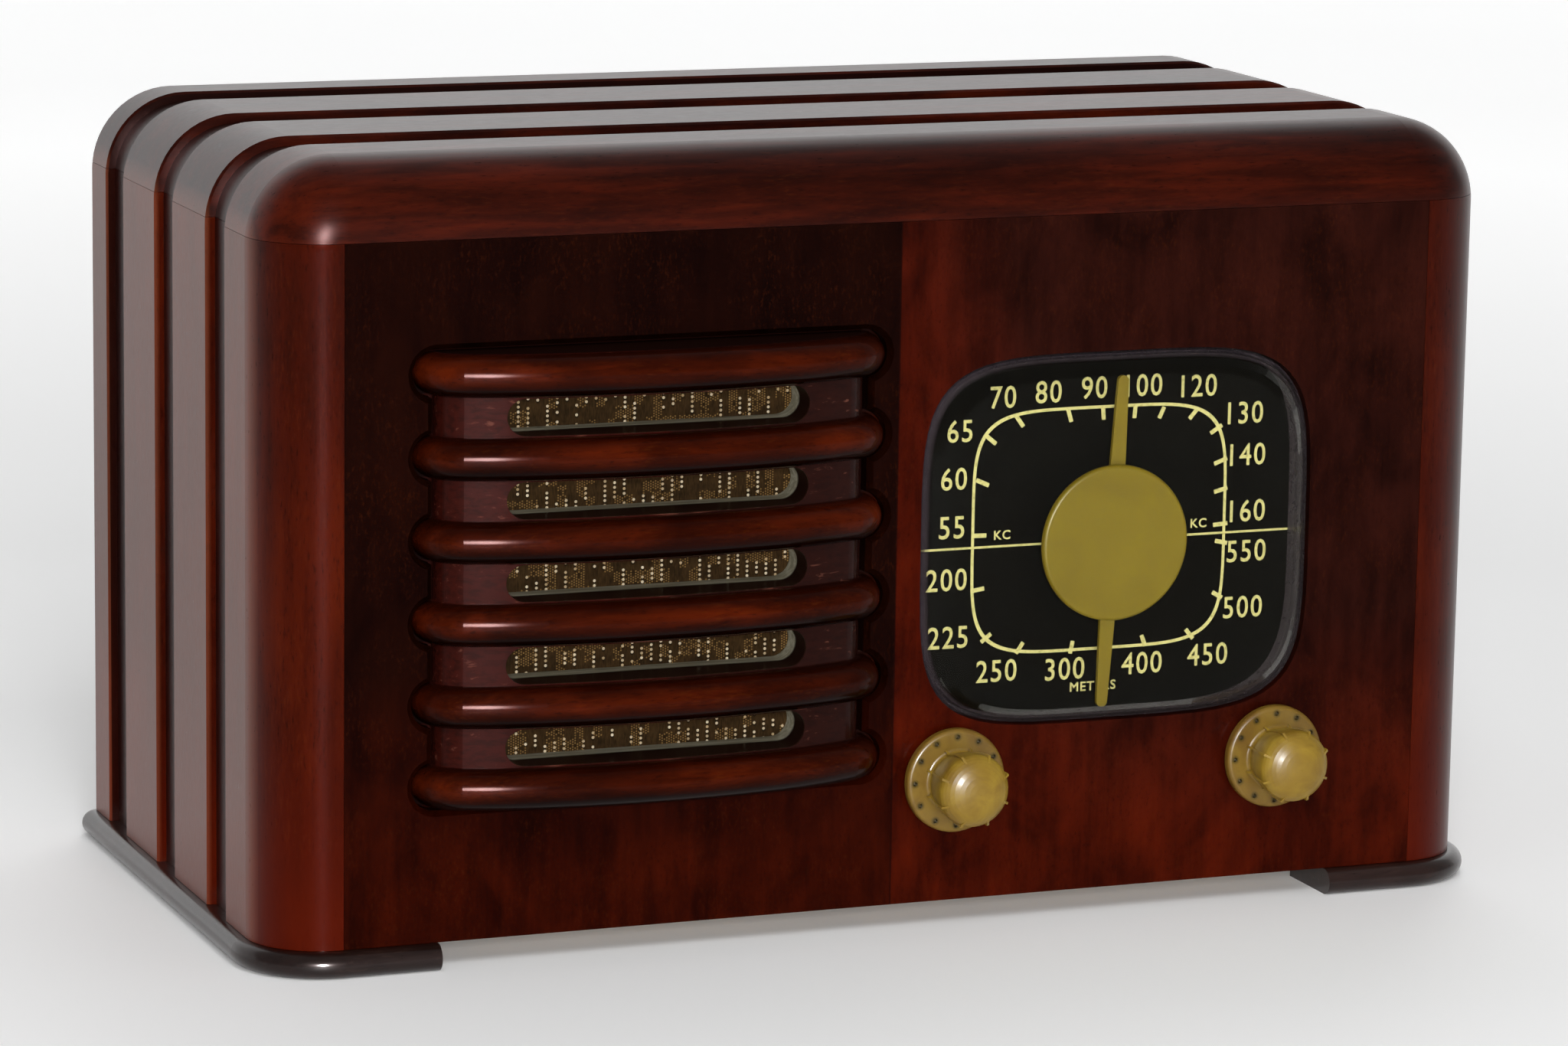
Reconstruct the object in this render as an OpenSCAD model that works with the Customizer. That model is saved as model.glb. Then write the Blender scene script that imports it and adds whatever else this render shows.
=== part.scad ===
// Wooden table radio: cabinet, louvred grille, round-cornered dial, and the works inside it.
// Millimetres. The front faces -Y, +Z is up, and the origin is on the table under the
// middle of everything. Inside the modules depth is counted back from the front panel's face.

/* [Cabinet] */
// Width across the side boards
cab_w = 340; // [330:1:400]
// Height of the cabinet body without its feet
body_h = 200; // [195:1:230]
// Depth from the front face to the rear edge
cab_d = 165; // [160:1:190]
// Thickness of the side and top boards
board_t = 12; // [10:0.5:13]
// Width of the solid edge that frames the front panel
seam_in = 20; // [19.6:0.2:22]
// Depth of the thick front edge of the side and top boards
post_d = 26; // [22:1:30]
// Radius of the rounded front edge
front_r = 19.5; // [12:0.5:19.5]
// Radius of the two top corners seen from the front
corner_r = 22; // [20:0.5:26]
// Thickness of the front panel
panel_t = 9; // [8:0.5:10]
// Thickness of the bottom board
bottom_t = 8; // [6:0.5:10]
// Small gap left at each glued or seated face
glue_gap = 0.1; // [0.05:0.01:0.2]

/* [Channels] */
// Number of channels that run up the sides and over the top
chan_count = 3; // [1:1:3]
// Width of one channel
chan_w = 16.5; // [10:0.5:20]
// Depth of one channel
chan_depth = 2.5; // [1:0.1:3.5]
// Distance from the front face to the first channel
chan_start = 38; // [30:1:42]
// Distance from one channel to the next
chan_pitch = 48; // [30:1:48]
// Bevel on the edges of each channel
chan_bevel = 0.6; // [0.2:0.1:1]

/* [Feet] */
// Height of the foot mouldings
foot_h = 7; // [6:0.5:10]
// Width of the foot moulding's flat strip
foot_w = 24; // [20:1:30]
// How far the feet stand out beyond the cabinet
foot_out = 4; // [2:0.5:6]
// Distance from the middle of the radio to the cut end of a foot's arm
foot_arm_x = 125; // [100:1:140]
// Radius of the feet's rear corners
foot_rear_r = 4.5; // [4:0.5:10]

/* [Grille] */
// Middle of the grille to the left of the radio's middle
grille_left = 68; // [64:0.5:72]
// Height of the grille's middle above the cabinet's bottom edge
grille_up = 93.3; // [90:0.5:100]
// Number of bars
bar_count = 6; // [4:1:6]
// Height of one bar
bar_d = 10.9; // [9:0.1:11.5]
// Distance from bar to bar
bar_pitch = 21.15; // [20.5:0.05:22]
// Length of a bar over its round ends
bar_len = 126.4; // [110:0.2:128]
// Half width of the pocket between the bars' ends
pocket_half = 58.8; // [50:0.2:60]
// Depth of the pocket's floor behind the front face
pocket_floor = 4.5; // [3.5:0.1:5]
// Gap between a bar's end and the scallop round it
pocket_gap = 0.8; // [0.4:0.1:1.2]
// Bevel round the pocket
pocket_bevel = 1.4; // [0.5:0.1:2]
// How far the middle of the bars' centre line stands in front of the pocket's floor
bow_rise = 15.4; // [12:0.1:18]
// Radius of the bow in the middle of the grille
bow_r = 241; // [150:1:400]
// Half width of the middle of the bow
bow_half = 32; // [20:1:40]
// Radius of the bow beside its middle
bow_side_r = 104; // [80:1:140]
// Distance from the grille's middle at which the bars' ends turn back
bow_turn = 52; // [50:0.5:53]
// Length of one slot over its round ends
slot_len = 81; // [60:1:90]
// Wood left between a slot and the bars beside it
slot_rim = 0.35; // [0.2:0.05:0.8]
// Shift of the slots to the left of the grille's middle
slot_shift = 1.2; // [0:0.1:3]
// Thickness of the wood behind the pocket's floor
insert_t = 9; // [6:0.5:11]
// Depth of the cloth's seat behind the pocket's floor
cloth_seat = 0.5; // [0.3:0.1:2]
// Rim round the cloth's recess in the back of the insert
cloth_rim = 3.5; // [2:0.5:6]
// Thickness of the grille cloth
cloth_t = 0.3; // [0.2:0.05:0.4]
// Thickness of the speaker board behind the cloth
baffle_t = 3; // [2:0.5:5]

/* [Dial] */
// Middle of the dial opening to the right of the radio's middle
open_right = 61.6; // [58:0.2:66]
// Height of the dial opening's middle above the cabinet's bottom edge
open_up = 94.5; // [90:0.5:100]
// Half width of the dial opening
open_a = 55.8; // [54:0.2:57]
// Half height of the dial opening
open_b = 49.3; // [48.5:0.1:51]
// Squareness of the opening's outline, where 2 is an ellipse
open_n = 4.5; // [3.5:0.1:6]
// Gap between the lens and the opening
lens_gap = 0.25; // [0.1:0.05:0.5]
// Thickness of the lens
lens_t = 1; // [0.8:0.1:1.4]
// Height of the lens's rounded shoulder
lens_shoulder = 6; // [4:0.5:7]
// How far the middle of the lens stands in front of the panel
lens_proud = 4.5; // [3.5:0.5:7]
// Width of the lens's flange behind the panel
lens_flange = 5; // [3:0.5:6]
// Pointer shaft to the right of the dial opening's middle
axis_right = 0.9; // [0:0.1:2]
// Pointer shaft below the dial opening's middle
axis_down = 2.5; // [0:0.1:3]
// Radius of the disc in the middle of the pointer
disc_r = 20.8; // [16:0.2:24]
// Reach of the pointer's two arms from the shaft
arm_reach = 44.3; // [38:0.1:44.6]
// Width of a pointer arm at the disc
arm_w = 4.2; // [3:0.1:6]
// Width of a pointer arm at its tip
arm_tip_w = 3; // [2:0.1:5]
// Lean of the pointer to the right of upright, in degrees
pointer_lean = 2.7; // [0:0.1:10]

/* [Knobs] */
// Distance of each knob from the middle of the dial opening
knob_off = 46; // [44:0.5:48]
// Height of the knobs above the cabinet's bottom edge
knob_up = 32.8; // [31:0.2:34]
// Radius of the knob's flange
flange_r = 13.8; // [12:0.2:15]
// Thickness of the knob's flange
flange_t = 3; // [2:0.2:4]
// Radius of the grip where it leaves the flange
grip_r0 = 7.8; // [6:0.2:8.4]
// Radius of the grip at its widest
grip_r1 = 9.6; // [8.6:0.2:10]
// Length of the grip ahead of the flange
grip_len = 16; // [13:0.5:18]
// Number of fins along the grip
fin_count = 8; // [6:1:12]
// How far a fin stands off the grip
fin_h = 0.5; // [0.3:0.05:1.2]
// Thickness of a fin
fin_t = 0.6; // [0.4:0.05:1]
// Number of dimples round the flange
dimple_count = 12; // [6:1:16]
// Depth of a dimple
dimple_h = 1.2; // [0.4:0.1:1.5]
// Gap between the knob and the front panel
knob_gap = 1.2; // [0.6:0.1:2]
// Radius of the control shafts
shaft_r = 3; // [2.5:0.1:3.2]
// Running clearance round a shaft
shaft_fit = 0.05; // [0.02:0.01:0.08]

/* [Chassis] */
// Distance from the front face to the chassis's front apron
chassis_y = 32; // [31:0.5:34]
// Distance from the front face to the chassis's front edge behind the loudspeaker
chassis_left_y = 92; // [90:0.5:96]
// Height of the chassis pan
chassis_h = 40; // [38:0.5:44]
// Thickness of the chassis sheet
sheet_t = 1.2; // [1:0.1:1.6]
// Gap between the chassis and the cabinet's sides
chassis_side = 14; // [13:0.5:20]
// Space between the chassis and the cabinet's rear edge
chassis_rear = 15; // [14:0.5:16]

/* [Tuning works] */
// Radius of the rotor plates
rotor_r = 19; // [16:0.2:20]
// Number of rotor plates in each bank
rotor_plates = 5; // [3:1:5]
// Number of banks on the tuning shaft
bank_count = 3; // [2:1:3]
// Thickness of the capacitor's plates
plate_t = 0.7; // [0.5:0.05:0.8]
// Distance from rotor plate to rotor plate
plate_pitch = 3; // [2.6:0.1:3]
// Radius of the cord drum's groove
drum_r = 30; // [28:0.5:32]
// Radius of the tuning spindle that drives the cord
spool_r = 4; // [3.6:0.1:4.4]
// Thickness of the dial cord
cord_d = 0.8; // [0.6:0.1:1]

/* [Loudspeaker] */
// Outer radius of the loudspeaker's frame
speaker_r = 63; // [60:0.5:64]
// Radius of the moving cone at its edge
cone_r = 51; // [48:0.5:52]
// Radius of the magnet pot
magnet_r = 27; // [24:0.5:28]
// Length of the magnet pot
magnet_len = 32; // [28:0.5:34]
// Inside radius of the voice coil
coil_r = 12.4; // [12:0.1:12.8]

/* [Rear cover] */
// Thickness of the rear cover
cover_t = 3; // [2.5:0.5:4]
// Overlap of the rear cover on the boards
rabbet_w = 4; // [3:0.5:4.5]
// Radius of the vent holes
vent_r = 4; // [2.5:0.5:5]
// Number of rows of vent holes
vent_rows = 4; // [2:1:5]

/* [Hidden] */
$fn = 64;
eps = 0.5;
knob_front = knob_gap + flange_t + grip_len;
face_y = -(cab_d + foot_out - knob_front) / 2;
half_w = cab_w / 2;
top_z = foot_h + body_h;
seam_z = top_z - seam_in;
panel_half = half_w - seam_in;
inner_half = half_w - board_t;
inner_top = top_z - board_t;
floor_z = foot_h + bottom_t;
axis_x = half_w - corner_r;
axis_z = top_z - corner_r;
cover_y = cab_d - cover_t;
cleat_w = 12;
cleat_x = inner_half - cleat_w / 2;
screw_z = [for (k = [0:2]) floor_z + 20 + k * (inner_top - floor_z - 40) / 2];
bar_r = bar_d / 2;
grille_x = -grille_left;
grille_z = foot_h + grille_up;
bar_rise = bar_pitch * (bar_count - 1) / 2;
bar_end = bar_len / 2 - bar_r;
insert_back = pocket_floor + insert_t;
slot_r = (bar_pitch - bar_d) / 2 - slot_rim;
slot_x = grille_x - slot_shift;
bar_side = bar_rise + bar_r;
bow_y = pocket_floor - bow_rise;
bow_lean = asin(bow_half / bow_r);
turn_sin = sin(bow_lean) + (bow_turn - bow_half) / bow_side_r;
turn_lean = asin(turn_sin);
end_r = (bar_end - bow_turn) / (1 - turn_sin);
bow_c = bow_y + bow_r;
side_cx = (bow_r - bow_side_r) * sin(bow_lean);
side_cy = bow_c - (bow_r - bow_side_r) * cos(bow_lean);
end_cx = side_cx + (bow_side_r - end_r) * turn_sin;
end_cy = side_cy - (bow_side_r - end_r) * cos(turn_lean);
cloth_y = pocket_floor + cloth_seat;
recess_half_x = slot_shift + slot_len / 2 + 3;
recess_half_z = bar_side - cloth_rim;
baffle_y = insert_back + glue_gap;
baffle_rim = 7;
baffle_half_x = bar_len / 2 + pocket_gap + 0.4;
baffle_half_z = bar_rise + bar_r + pocket_gap + baffle_rim;
open_x = open_right;
open_z = foot_h + open_up;
pointer_x = open_x + axis_right;
pointer_z = open_z - axis_down;
pillow_steps = 64;
lens_back = panel_t + glue_gap + lens_t;
plate_y = lens_back + 0.2;
dial_plate_t = 1;
bracket_y = plate_y + dial_plate_t + glue_gap;
arm_y = 4.6;
arm_t = 1.2;
disc_front = 2.4;
disc_t = 3.4;
vol_x = open_x - knob_off;
tune_x = open_x + knob_off;
knob_z = foot_h + knob_up;
knob_bore = 11;
chassis_half = inner_half - chassis_side;
chassis_back = cab_d - chassis_rear;
chassis_z = floor_z + glue_gap;
deck_z = chassis_z + chassis_h;
step_x = 0;
apron_in = chassis_y + sheet_t;
bush_r = 4.8;
nut_r = 7.5;
tab_in = 9;
tab = 2 * tab_in;
bolt_head_r = 4.5;
tab_rear = min(chassis_back - tab_in, cab_d + foot_out - foot_w - bolt_head_r - eps);
tab_places = [
    [-chassis_half + tab_in, chassis_left_y + tab_in],
    [-chassis_half + tab_in, tab_rear],
    [chassis_half - tab_in, chassis_y + tab_in],
    [chassis_half - tab_in, tab_rear]
];
row_y = chassis_back - 20;
small_tubes = [[-116, row_y], [-76, row_y], [-36, row_y], [20, row_y]];
power_tubes = [[pointer_x, row_y], [112, row_y]];
sockets = concat(small_tubes, power_tubes);
can_w = 28;
cans = [[18, row_y - 78], [18, row_y - 42]];
filter_place = [118, row_y - 38];
coil_place = [118, row_y - 70];
socket_r = 12;
socket_flange = 1.2;
tube_z = deck_z + glue_gap + socket_flange + glue_gap;
gang_y = 38;
frame_t = 1.5;
bank_len = rotor_plates * plate_pitch + 4;
gang_len = bank_count * bank_len + 2 * frame_t;
gang_low = pointer_z - rotor_r - 3;
gang_left = rotor_r + 3;
gang_right = rotor_r + 7;
gang_high = pointer_z + rotor_r + 3;
rod_x = rotor_r + 3.5;
rod_z = 12;
drum_y = 24;
drum_w = 6;
rim_h = 1.5;
cord_gap = 0.2;
cord_r1 = drum_r + cord_gap + cord_d / 2;
cord_r2 = spool_r + cord_gap + cord_d / 2;
cord_dx = tune_x - pointer_x;
cord_dz = knob_z - pointer_z;
cord_run = sqrt(cord_dx * cord_dx + cord_dz * cord_dz);
cord_dir = atan2(cord_dz, cord_dx);
cord_lean = acos((cord_r1 - cord_r2) / cord_run);
speaker_y = baffle_y + baffle_t + glue_gap;
flange_sheet = 1.5;
surround_y = speaker_y + flange_sheet + glue_gap;
cone_depth = 25;
cone_t = 0.8;
magnet_y = speaker_y + 42;
gap_in = coil_r - 0.6;
coil_out = coil_r + 0.8;
gap_out = coil_out + 0.7;
bolt_r = 2;
bolt_ring = speaker_r - 3.2;
speaker_bolt_r = 1.6;
transformer_w = 44;
transformer_h = 32;
transformer_l = 28;

// Shared shapes

// Puts a shape that is measured from the front face in its place
module placed() {
    translate([0, face_y, 0]) children();
}

// Extrudes an outline seen from the front from depth y0 to depth y1
module slab(y0, y1) {
    translate([0, y1, 0]) rotate([90, 0, 0]) linear_extrude(y1 - y0) children();
}

// A round bar from depth y0 to depth y1
module rod(x, z, y0, y1, r) {
    translate([x, y1, z]) rotate([90, 0, 0]) cylinder(r = r, h = y1 - y0);
}

// Stands a turned shape at depth y with its top towards the viewer
module facing(x, y, z) {
    translate([x, y, z]) rotate([90, 0, 0]) children();
}

// An upright post
module post(x, y, z0, z1, r) {
    translate([x, y, z0]) cylinder(r = r, h = z1 - z0);
}

// Round-ended slot outline, where run is the distance between the end centres
module stadium(run, r) {
    square([run, 2 * r], center = true);
    for (s = [-1, 1]) translate([s * run / 2, 0]) circle(r = r);
}

// Signed power, used for the rounded square of the dial
function spow(v, e) = sign(v) * pow(abs(v), e);

// Points of a rounded square with bulging sides
function pillow(a, b) = [
    for (k = [0:pillow_steps - 1])
        let (t = (k + 0.5) * 360 / pillow_steps)
            [a * spow(cos(t), 2 / open_n), b * spow(sin(t), 2 / open_n)]
];

// Height of bar number i above the grille's middle
function bar_at(i) = i * bar_pitch - bar_rise;

// Cabinet

// Section of the wrapped edge: x out from the corner's axis, y back from the front
module shell_section() {
    difference() {
        square([corner_r, cab_d]);
        difference() {
            translate([corner_r - front_r, -eps]) square([front_r + eps, front_r + eps]);
            translate([corner_r - front_r, front_r]) circle(r = front_r, $fn = 96);
        }
    }
}

// Section of channel number i, with its bevelled edges
module channel_section(i) {
    y0 = chan_start + i * chan_pitch;
    y1 = y0 + chan_w;
    r0 = corner_r - chan_depth;
    r1 = corner_r - chan_bevel;
    r2 = corner_r + eps;
    flare = chan_bevel + eps;
    polygon([[r0, y0], [r1, y0], [r2, y0 - flare], [r2, y1 + flare], [r1, y1], [r0, y1]]);
}

// Carries a section up both sides and over the top
module wrap() {
    for (m = [0, 1]) mirror([m, 0, 0]) {
        translate([axis_x, 0, foot_h - eps]) linear_extrude(axis_z - foot_h + eps) children();
        translate([axis_x, 0, axis_z]) rotate([-90, 0, 0]) rotate([0, 0, -90])
            rotate_extrude(angle = 90, $fn = 96) children();
    }
    translate([axis_x, 0, axis_z]) rotate([0, -90, 0]) linear_extrude(2 * axis_x) children();
}

// Everything inside the boards
module cabinet_hollow() {
    low = foot_h - 2 * eps;
    translate([-panel_half, -eps, low]) cube([2 * panel_half, cab_d + 2 * eps, seam_z - low]);
    translate([-inner_half, post_d, low]) cube([2 * inner_half, cab_d, inner_top - low]);
    rabbet = inner_half + rabbet_w;
    translate([-rabbet, cover_y, low]) cube([2 * rabbet, cab_d, inner_top + rabbet_w - low]);
}

module cabinet_shell() {
    difference() {
        wrap() shell_section();
        cabinet_hollow();
        for (i = [0:chan_count - 1]) wrap() channel_section(i);
    }
}

module side_board() {
    intersection() {
        cabinet_shell();
        translate([0, 0, foot_h]) cube([half_w + eps, cab_d, seam_z - glue_gap - foot_h]);
    }
}

module top_board() color("#5a1f10") placed() {
    intersection() {
        cabinet_shell();
        translate([-half_w, 0, seam_z]) cube([cab_w, cab_d, seam_in + eps]);
    }
}

module side_board_left() color("#5a1f10") placed() mirror([1, 0, 0]) side_board();

module side_board_right() color("#5a1f10") placed() side_board();

// Outline of the pocket for the grille, with a scallop round each bar's end
module pocket_outline(gap) {
    translate([grille_x, grille_z]) {
        square([2 * (pocket_half + gap - pocket_gap), 2 * bar_rise], center = true);
        for (i = [0:bar_count - 1]) translate([0, bar_at(i)]) stadium(2 * bar_end, bar_r + gap);
    }
}

// Wedge that bevels the pocket's edge at the front face
module pocket_bevel_cut() {
    r = bar_r + pocket_gap;
    b = pocket_bevel;
    far = r + b + eps;
    translate([grille_x, 0, grille_z]) {
        for (i = [0:bar_count - 1]) translate([0, 0, bar_at(i)]) {
            rotate([90, 0, 90]) linear_extrude(2 * bar_end, center = true)
                polygon([[b, -r], [-eps, -far], [-eps, far], [b, r]]);
            for (s = [-1, 1]) translate([s * bar_end, b, 0]) rotate([90, 0, 0])
                cylinder(r1 = r, r2 = far, h = b + eps);
        }
        wide = pocket_half + b + eps;
        translate([0, 0, -bar_rise]) linear_extrude(2 * bar_rise)
            polygon([[-pocket_half, b], [-wide, -eps], [wide, -eps], [pocket_half, b]]);
    }
}

module front_panel() color("#4a160c") placed() {
    difference() {
        slab(0, panel_t) translate([-panel_half + glue_gap, foot_h])
            square([2 * (panel_half - glue_gap), seam_z - foot_h - glue_gap]);
        slab(-eps, panel_t + eps) pocket_outline(pocket_gap);
        pocket_bevel_cut();
        slab(-eps, panel_t + eps) translate([open_x, open_z]) polygon(pillow(open_a, open_b));
        for (x = [vol_x, tune_x]) rod(x, knob_z, -eps, panel_t + eps, shaft_r + 2);
        for (p = board_screw_places()) rod(p[0], p[1], panel_t - 6, panel_t + eps, 1.6);
    }
}

module bottom_board() color("#a9865a") placed() {
    difference() {
        translate([0, 0, foot_h]) linear_extrude(bottom_t) polygon([
            [-panel_half + glue_gap, panel_t + glue_gap], [panel_half - glue_gap, panel_t + glue_gap],
            [panel_half - glue_gap, post_d + glue_gap], [inner_half - glue_gap, post_d + glue_gap],
            [inner_half - glue_gap, cover_y - glue_gap], [-inner_half + glue_gap, cover_y - glue_gap],
            [-inner_half + glue_gap, post_d + glue_gap], [-panel_half + glue_gap, post_d + glue_gap]
        ]);
        for (p = tab_places) post(p[0], p[1], foot_h - eps, floor_z + eps, bolt_r + 0.2);
    }
}

module rear_cleats() color("#a9865a") placed() {
    for (s = [-1, 1]) difference() {
        translate([s * cleat_x - (cleat_w - 2 * glue_gap) / 2, cover_y - cleat_w, floor_z + glue_gap])
            cube([cleat_w - 2 * glue_gap, cleat_w - glue_gap, inner_top - floor_z - 2 * glue_gap]);
        for (z = screw_z) rod(s * cleat_x, z, cover_y - cleat_w + 1, cover_y + eps, 1.6);
    }
}

module glue_blocks() color("#a9865a") placed() {
    leg = 9;
    from = 24;
    for (m = [0, 1]) mirror([m, 0, 0])
        translate([from, panel_t + glue_gap, floor_z + glue_gap]) rotate([90, 0, 90])
            linear_extrude(panel_half - glue_gap - from) polygon([[0, 0], [leg, 0], [0, leg]]);
}

// Section of the foot moulding, from the middle of the bend out to its round nose
module foot_section(w) {
    h = foot_h - glue_gap;
    square([w - h / 2, h]);
    translate([w - h / 2, h / 2]) circle(r = h / 2);
}

// One foot: a rail under the side with an arm round the front and the rear corner
module foot() {
    out_x = half_w + foot_out;
    bend = front_r + foot_out;
    rear = cab_d + foot_out;
    translate([out_x - foot_w, bend - foot_out, 0]) rotate([90, 0, 180])
        linear_extrude(rear - foot_rear_r - bend + foot_out) mirror([1, 0, 0]) foot_section(foot_w);
    translate([out_x - bend, bend - foot_out, 0]) rotate([0, 0, -90])
        rotate_extrude(angle = 90) foot_section(bend);
    translate([foot_arm_x, foot_w - foot_out, 0]) rotate([90, 0, 90])
        linear_extrude(out_x - bend - foot_arm_x) mirror([1, 0, 0]) foot_section(foot_w);
    translate([out_x - foot_rear_r, rear - foot_rear_r, 0])
        rotate_extrude(angle = 90) intersection() {
            foot_section(foot_rear_r);
            square([foot_rear_r, foot_h]);
        }
    translate([foot_arm_x, rear - foot_w, 0]) rotate([90, 0, 90])
        linear_extrude(out_x - foot_rear_r - foot_arm_x) foot_section(foot_w);
}

module foot_left() color("#2a1610") placed() mirror([1, 0, 0]) foot();

module foot_right() color("#2a1610") placed() foot();

// Grille

// Upright section of the bars and of the wood between them, at distance r from an axis
module grille_section(r) {
    translate([r - end_r, -bar_side]) square([end_r, 2 * bar_side]);
    for (i = [0:bar_count - 1]) translate([r, bar_at(i)]) circle(r = bar_r);
}

// Turns the section round an upright axis at x, y from lean a to lean b
module bow_arc(x, y, r, a, b) {
    translate([x, y, 0]) rotate([0, 0, a - 90]) rotate_extrude(angle = b - a) grille_section(r);
}

// Point behind the centre line of the bow, at lean a of the arc round x, y
function bow_point(x, y, r, a) = [x + (r - end_r / 2) * sin(a), y - (r - end_r / 2) * cos(a)];
bow_inner = [
    bow_point(0, bow_c, bow_r, bow_lean),
    bow_point(side_cx, side_cy, bow_side_r, turn_lean),
    bow_point(end_cx, end_cy, end_r, 90),
    [end_cx + end_r / 2, pocket_floor + 1]
];

// Bars and the wood between them: the section bowed forward, its ends turned back into the pocket
module bowed_bars() {
    translate([grille_x, 0, grille_z]) {
        bow_arc(0, bow_c, bow_r, -bow_lean, bow_lean);
        for (m = [0, 1]) mirror([m, 0, 0]) {
            bow_arc(side_cx, side_cy, bow_side_r, bow_lean, turn_lean);
            bow_arc(end_cx, end_cy, end_r, turn_lean, 90);
            translate([end_cx, pocket_floor + 1, 0]) rotate([90, 0, 0])
                linear_extrude(pocket_floor + 1 - end_cy) grille_section(end_r);
        }
        translate([0, 0, -bar_side]) linear_extrude(2 * bar_side) polygon(concat(
            [bow_point(0, bow_c, bow_r, 0)], bow_inner,
            [for (k = [len(bow_inner) - 1:-1:0]) [-bow_inner[k][0], bow_inner[k][1]]]
        ));
    }
}

module grille_insert() color("#5a1f10") placed() {
    fit = pocket_gap - 0.15;
    difference() {
        union() {
            slab(pocket_floor, insert_back) pocket_outline(fit);
            slab(panel_t + glue_gap, insert_back) baffle_outline();
            bowed_bars();
        }
        for (p = board_screw_places()) rod(p[0], p[1], panel_t, insert_back + eps, 1.6);
        for (i = [0:bar_count - 2]) slab(bow_y - bar_r, insert_back + eps)
            translate([slot_x, grille_z + bar_at(i) + bar_pitch / 2])
                stadium(slot_len - 2 * slot_r, slot_r);
        slab(cloth_y, insert_back + eps) translate([grille_x, grille_z])
            square([2 * recess_half_x, 2 * recess_half_z], center = true);
    }
}

module grille_cloth() color("#3b3322") placed() {
    slab(cloth_y + glue_gap, cloth_y + glue_gap + cloth_t) translate([grille_x, grille_z])
        square([2 * (recess_half_x - 0.5), 2 * (recess_half_z - 0.5)], center = true);
}

// Outline of the insert's flange and of the speaker board
module baffle_outline() {
    translate([grille_x, grille_z]) square([2 * baffle_half_x, 2 * baffle_half_z], center = true);
}

// Places of the screws that hold the speaker board to the panel
function board_screw_places() = [
    for (sx = [-1, 1], sz = [-1, 1]) [grille_x + sx * 48, grille_z + sz * (baffle_half_z - baffle_rim / 2)]
];

// Places of the bolts that hold the loudspeaker to its board
function speaker_bolt_places() = [
    for (a = [45:90:315]) [grille_x + bolt_ring * cos(a), grille_z + bolt_ring * sin(a)]
];

module speaker_board() color("#5c4630") placed() {
    difference() {
        slab(baffle_y, baffle_y + baffle_t) baffle_outline();
        rod(grille_x, grille_z, baffle_y - eps, baffle_y + baffle_t + eps, cone_r + 1);
        for (p = board_screw_places()) rod(p[0], p[1], baffle_y - eps, speaker_y + eps, 1.6);
        for (p = speaker_bolt_places()) {
            rod(p[0], p[1], baffle_y - eps, speaker_y + eps, speaker_bolt_r + 0.15);
            rod(p[0], p[1], baffle_y - eps, baffle_y + 1.4, 4);
        }
    }
}

module board_screws() color("#b9a46a") placed() {
    for (p = board_screw_places()) {
        rod(p[0], p[1], panel_t - 5, speaker_y, 1.5);
        rod(p[0], p[1], speaker_y, speaker_y + 1.6, 3);
    }
}

// Dial

// One ring of the lens: inset from the opening and depth
function lens_ring(inset, y) = [
    for (p = pillow(open_a - lens_gap - inset, open_b - lens_gap - inset)) [open_x + p[0], y, open_z + p[1]]
];

// Depth of the lens's outside at a share s of the way from its shoulder to its middle
function dome_y(s) = -(lens_proud - 1.5) - 1.5 * (1 - (1 - s) * (1 - s));

// Rings of one skin of the lens from the wall to near the middle, t inside the outer skin
function lens_skin(t) = concat(
    [for (k = [0:4])
        let (a = k * 22.5, r = lens_shoulder)
            lens_ring(t + (r - t) * (1 - cos(a)), r - lens_proud + 1.5 - (r - t) * sin(a))],
    [for (s = [0.25:0.25:0.75]) lens_ring(lens_shoulder + s * (open_b - lens_shoulder), dome_y(s) + t)]
);

// The lens is one skin carried round its flange and back
module dial_lens() color([0.85, 0.86, 0.8, 0.35]) placed() {
    inner = lens_skin(lens_t);
    outer = lens_skin(0);
    n_in = len(inner);
    front = lens_back - lens_t;
    rings = concat(
        [for (k = [n_in - 1:-1:0]) inner[k]],
        [lens_ring(lens_t, lens_back), lens_ring(-lens_flange, lens_back)],
        [lens_ring(-lens_flange, front), lens_ring(0, front)],
        outer
    );
    n = pillow_steps;
    last = len(rings) - 1;
    points = concat([[open_x, dome_y(1) + lens_t, open_z]], [for (r = rings, p = r) p],
        [[open_x, dome_y(1), open_z]]);
    tip = len(points) - 1;
    faces = concat(
        [for (k = [0:n - 1]) [0, 1 + (k + 1) % n, 1 + k]],
        [for (j = [0:last - 1], k = [0:n - 1], half = [0, 1])
            let (a = 1 + j * n + k, b = 1 + j * n + (k + 1) % n)
                half == 0 ? [a, b, b + n] : [a, b + n, a + n]],
        [for (k = [0:n - 1]) [tip, 1 + last * n + k, 1 + last * n + (k + 1) % n]]
    );
    polyhedron(points, faces);
}

module dial_plate() color("#15130f") placed() {
    difference() {
        slab(plate_y, plate_y + dial_plate_t) translate([open_x, open_z])
            polygon(pillow(open_a + lens_flange, open_b + lens_flange));
        rod(pointer_x, pointer_z, plate_y - eps, plate_y + dial_plate_t + eps, shaft_r + 3);
    }
}

// Sheet frame behind the dial, with two tabs back to the chassis
module dial_bracket() color("#8d8f8c") placed() {
    wide = 60;
    high = 50;
    leg = 8;
    foot_z = knob_z + 6.4;
    slab(bracket_y, bracket_y + sheet_t) difference() {
        translate([open_x - wide, foot_z]) square([2 * wide, open_z + high - foot_z]);
        translate([open_x - wide + leg, foot_z - eps]) square([2 * (wide - leg), open_z + high - foot_z - leg]);
    }
    for (s = [-1, 1]) translate([open_x + s * (wide - leg / 2) - leg / 2, bracket_y, foot_z])
        cube([leg, chassis_y - glue_gap - bracket_y, sheet_t]);
}

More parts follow.
